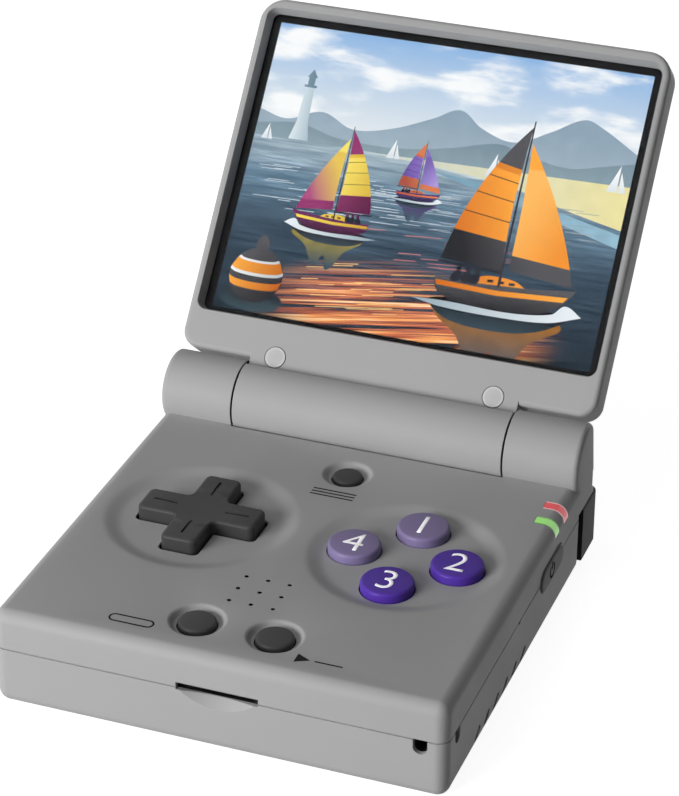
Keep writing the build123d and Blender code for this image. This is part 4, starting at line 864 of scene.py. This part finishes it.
ORANGE_BOAT = {
    "hull": ((0.10, 0.10, 0.11), (0.015, 0.015, 0.02)),
    "trim": ((1.0, 0.42, 0.06), (0.62, 0.14, 0.01)),
    "sail": ((1.0, 0.40, 0.05), (0.66, 0.15, 0.01)),
    "panel": ((0.09, 0.09, 0.10), (0.018, 0.018, 0.022)),
    "jib": ((0.90, 0.30, 0.03), (1.0, 0.50, 0.12)),
}
YELLOW_BOAT = {
    "hull": ((0.16, 0.03, 0.12), (0.04, 0.01, 0.03)),
    "trim": ((0.95, 0.72, 0.10), (0.60, 0.36, 0.03)),
    "sail": ((0.95, 0.76, 0.14), (0.66, 0.42, 0.04)),
    "panel": ((0.30, 0.04, 0.16), (0.13, 0.015, 0.07)),
    "jib": ((0.42, 0.08, 0.22), (0.80, 0.55, 0.10)),
}
PURPLE_BOAT = {
    "hull": ((0.10, 0.06, 0.20), (0.02, 0.015, 0.05)),
    "trim": ((0.85, 0.24, 0.07), (0.50, 0.08, 0.03)),
    "sail": ((0.26, 0.16, 0.55), (0.12, 0.07, 0.32)),
    "panel": ((0.70, 0.20, 0.08), (0.40, 0.08, 0.05)),
    "jib": ((0.40, 0.30, 0.68), (0.20, 0.13, 0.45)),
}

draw_lake()
draw_far_sails()
draw_boat("purple_boat", (36.0, 28.2), 0.44, 1, 5, PURPLE_BOAT)
draw_boat("yellow_boat", (20.5, 19.6), 0.78, -1, 6, YELLOW_BOAT)
draw_boat("orange_boat", (56.5, 10.6), 1.36, 1, 8, ORANGE_BOAT)
draw_buoy()
make_picture_layers()

streaks = streak_tree()
first_seed = 3
# tone, middle, width, height, density, range of lengths, thickness, slant
streak_runs = (
    ((1.0, 0.62, 0.25), (36.0, 8.5), 40.0, 9.0, 0.10, (3.0, 10.0), 0.16, 0.14),
    ((0.85, 0.30, 0.30), (36.0, 18.0), 44.0, 6.0, 0.08, (3.0, 9.0), 0.14, 0.08),
    ((0.62, 0.72, 0.80), (39.0, 26.5), 68.0, 9.0, 0.22, (2.0, 7.0), 0.12, 0.03),
)
for number, (tone, middle, width, height, density, lengths, thickness, slant) in enumerate(
        streak_runs):
    name = f"picture_streaks_{number}"
    glow = shaded(name, tone, tuple(0.5 * c for c in tone),
                  (middle[0] - 10, middle[1]), (middle[0] + 14, middle[1]), 0.2)
    draw_streaks(name, middle, 4.2 + 0.2 * number, material=glow, seed=first_seed + number,
                 width=width, height=height, density=density, shortest=lengths[0],
                 longest=lengths[1], thickness=thickness, slant=slant)


# ---- marks ----------------------------------------------------------------------
sign_lift = 2.0                        # height over a face from which a mark is laid on it


def text_mesh(character, height, weight):
    """A numeral as a flat mesh in millimetres, centred, of that height."""
    curve = bpy.data.curves.new("numeral", "FONT")
    curve.body = character
    curve.offset = weight
    mesh = evaluated_mesh(new_object("numeral", curve))
    xs = [vertex.co.x for vertex in mesh.vertices]
    ys = [vertex.co.y for vertex in mesh.vertices]
    centre = Vector(((max(xs) + min(xs)) / 2, (max(ys) + min(ys)) / 2, 0))
    mesh.transform(Matrix.Scale(height / (max(ys) - min(ys)), 4) @ Matrix.Translation(-centre))
    return mesh


def print_on(name, mesh, node, body, material, rise=0.03, direction=(0, 0, -1)):
    """Lays a flat mesh, given in millimetres in place, on a solid's face as a thin print."""
    longest, start_back = 0.7, 10.0
    builder = bmesh.new()
    builder.from_mesh(mesh)
    bmesh.ops.remove_doubles(builder, verts=builder.verts[:], dist=0.001)
    bmesh.ops.triangulate(builder, faces=builder.faces[:])
    for _ in range(2):
        long_edges = [edge for edge in builder.edges if edge.calc_length() > longest]
        bmesh.ops.subdivide_edges(builder, edges=long_edges, cuts=1)
        bmesh.ops.triangulate(builder, faces=builder.faces[:])
    graph = bpy.context.evaluated_depsgraph_get()
    surface = BVHTree.FromObject(nodes[node].evaluated_get(graph), graph)
    way = Vector(direction)
    for vertex in builder.verts:
        place = vertex.co * MM
        hit = surface.ray_cast(place - way * start_back * MM, way)[0]
        vertex.co = (hit - way * rise * MM) if hit else place
    bite = 1.5                             # print thickness over its rise, so that it sinks in
    add_piece(name, built_mesh(name, builder), material, body, rise * bite)


pad_spacing, pad_y, button_pitch = 40.0, -1.85, 9.9
numeral_height, numeral_weight = 5.8, -0.008
button_marks = {"top": ("1", 0, 1), "right": ("2", 1, 0), "bottom": ("3", 0, -1),
                "left": ("4", -1, 0)}
for place, (character, across, along) in button_marks.items():
    numeral = text_mesh(character, numeral_height, numeral_weight)
    numeral.transform(Matrix.Translation((pad_spacing / 2 + across * button_pitch,
                                          pad_y + along * button_pitch, top_height + sign_lift)))
    button = f"action_button_{place}"
    print_on(f"numeral_{place}", numeral, button, button, mark_white)


def flat_mesh(name, shapes):
    """A flat mesh from filled outlines and from (vertices, faces) pairs."""
    builder = bmesh.new()
    for shape in shapes:
        if isinstance(shape, tuple):
            corners = [builder.verts.new(point) for point in shape[0]]
            for face in shape[1]:
                builder.faces.new([corners[index] for index in face])
        else:
            builder.faces.new([builder.verts.new((x, y, 0)) for x, y in shape])
    return built_mesh(name, builder)


def bar(middle, width, height):
    return rounded_outline(width, height, 0.49 * min(width, height), middle, 5)


def print_sign(name, shapes, middle):
    """Prints a dark sign on the base's top face."""
    mesh = flat_mesh(name, shapes)
    mesh.transform(Matrix.Translation((*middle, top_height + sign_lift)))
    print_on(name, mesh, "base_top_shell", "base", mark_dark, sign_rise)


sign_rise = 0.02
stroke = 0.36
sign_length, sign_height, pill_radius = 8.6, 2.4, 1.19
pill = ring(rounded_outline(sign_length, sign_height, pill_radius),
            rounded_outline(sign_length - 2 * stroke, sign_height - 2 * stroke,
                            pill_radius - stroke), 0)
print_sign("menu_sign", [bar((0, step), sign_length, stroke) for step in (-1, 0, 1)], (0.0, 14.1))
print_sign("select_sign", [pill], (-18.0, -38.5))
print_sign("start_sign", [[(-4.3, 1.3), (-4.3, -1.3), (-1.7, 0)], bar((1.7, 0), 5.2, stroke)],
           (17.4, -39.1))


def power_sign():
    """A ring open at the top with a bar in the gap, on the power button."""
    radius, half_gap, stroke, steps = 1.35, 38.0, 0.5, 24
    forward = 0.6                          # sign's middle in front of the button's
    angles = [math.radians(90 + half_gap + (360 - 2 * half_gap) * step / steps)
              for step in range(steps + 1)]
    rims = [(r * math.cos(a), r * math.sin(a), 0)
            for r in (radius + stroke / 2, radius - stroke / 2) for a in angles]
    faces = [(i, i + 1, i + steps + 2, i + steps + 1) for i in range(steps)]
    mesh = flat_mesh("power_sign", [(rims, faces), bar((0, 1.1), stroke, 1.7)])
    mesh.transform(Matrix(((0, 0, 1, power_face + sign_lift), (1, 0, 0, power_middle[0] - forward),
                           (0, 1, 0, power_middle[1]), (0, 0, 0, 1))))
    print_on("power_sign", mesh, "power_button", "power_button", mark_dark,
             sign_rise, (-1, 0, 0))


power_sign()


# ==== stage ======================================================================
def add_camera():
    """The camera that took the photograph, from its place, direction and focal length."""
    data = bpy.data.cameras.new("camera")
    data.sensor_width = 36.0
    data.lens = focal_pixels * data.sensor_width / max(photo_width, photo_height)
    data.clip_start, data.clip_end = 0.01, 20.0
    camera = new_object("camera", data)
    azimuth, elevation = math.radians(camera_azimuth), math.radians(camera_elevation)
    right = Vector((math.cos(azimuth), math.sin(azimuth), 0))
    back = Vector((math.sin(azimuth) * math.cos(elevation),
                   -math.cos(azimuth) * math.cos(elevation), math.sin(elevation)))
    turn = Matrix.Rotation(math.radians(camera_roll), 3, "Z")
    axes = Matrix((right, back.cross(right), back)).transposed() @ turn
    camera.matrix_world = Matrix.Translation(Vector(camera_place) * MM) @ axes.to_4x4()
    bpy.context.scene.camera = camera


def seen_rays(tree):
    """1 for camera, glossy and transmission rays, else 0."""
    path = tree.add("ShaderNodeLightPath")
    seen = (path, "Is Camera Ray")
    for name in ("Is Glossy Ray", "Is Transmission Ray"):
        seen = tree.maths("MAXIMUM", seen, (path, name))
    return seen


def add_world():
    """A white background, and a weak even light on the object."""
    world = bpy.data.worlds.new("studio")
    world.use_nodes = True
    bpy.context.scene.world = world
    tree = NodeTree(world.node_tree)
    soft, white = (tree.add("ShaderNodeBackground", {"Color": WHITE, "Strength": strength})
                   for strength in (ambient_strength, 1.0))
    choice = tree.add("ShaderNodeMixShader", {0: seen_rays(tree), 1: (soft, 0), 2: (white, 0)})
    tree.add("ShaderNodeOutputWorld", {"Surface": (choice, 0)})


def add_floor():
    """A pale floor that fades to the white background and keeps the object's shadow."""
    half = 3.0
    mesh = plain_mesh("floor", [(-half, -half, 0), (half, -half, 0), (half, half, 0),
                                (-half, half, 0)], [(0, 1, 2, 3)])
    material = bpy.data.materials.new("floor_white")
    material.use_nodes = True
    tree = NodeTree(material.node_tree)
    surface = tree.add("ShaderNodeBsdfDiffuse", {"Color": floor_grey})
    glow = tree.add("ShaderNodeEmission", {
        "Color": WHITE, "Strength": tree.maths("MULTIPLY", seen_rays(tree), floor_glow)})
    total = tree.add("ShaderNodeAddShader", {0: (surface, 0), 1: (glow, 0)})
    tree.add("ShaderNodeOutputMaterial", {"Surface": (total, 0)})
    mesh.materials.append(material)
    new_object("floor", mesh)


def add_lamp(name, direction, distance, size, power):
    """A square soft lamp that shines at the object from that direction."""
    data = bpy.data.lights.new(name, "AREA")
    data.shape = "SQUARE"
    data.size = size
    data.energy = power
    way = Vector(direction).normalized()
    turn = way.to_track_quat("Z", "Y").to_matrix().to_4x4()
    place = Vector(lamp_aim) * MM + way * distance
    new_object(name, data).matrix_world = Matrix.Translation(place) @ turn


ambient_strength = 0.04
floor_grey, floor_glow = (0.45, 0.45, 0.45), 0.92
lamp_aim = (0.0, 10.0, 30.0)
add_camera()
add_world()
add_floor()
add_lamp("key", (-0.50, -0.84, 0.24), 0.9, 0.5, 7.6)
add_lamp("fill", (-0.35, -0.30, 0.88), 1.0, 0.8, 2.2)
add_lamp("rear", (0.0, 0.99, 0.08), 0.9, 0.35, 4.0)

scene = bpy.context.scene
scene.view_settings.view_transform = "Standard"
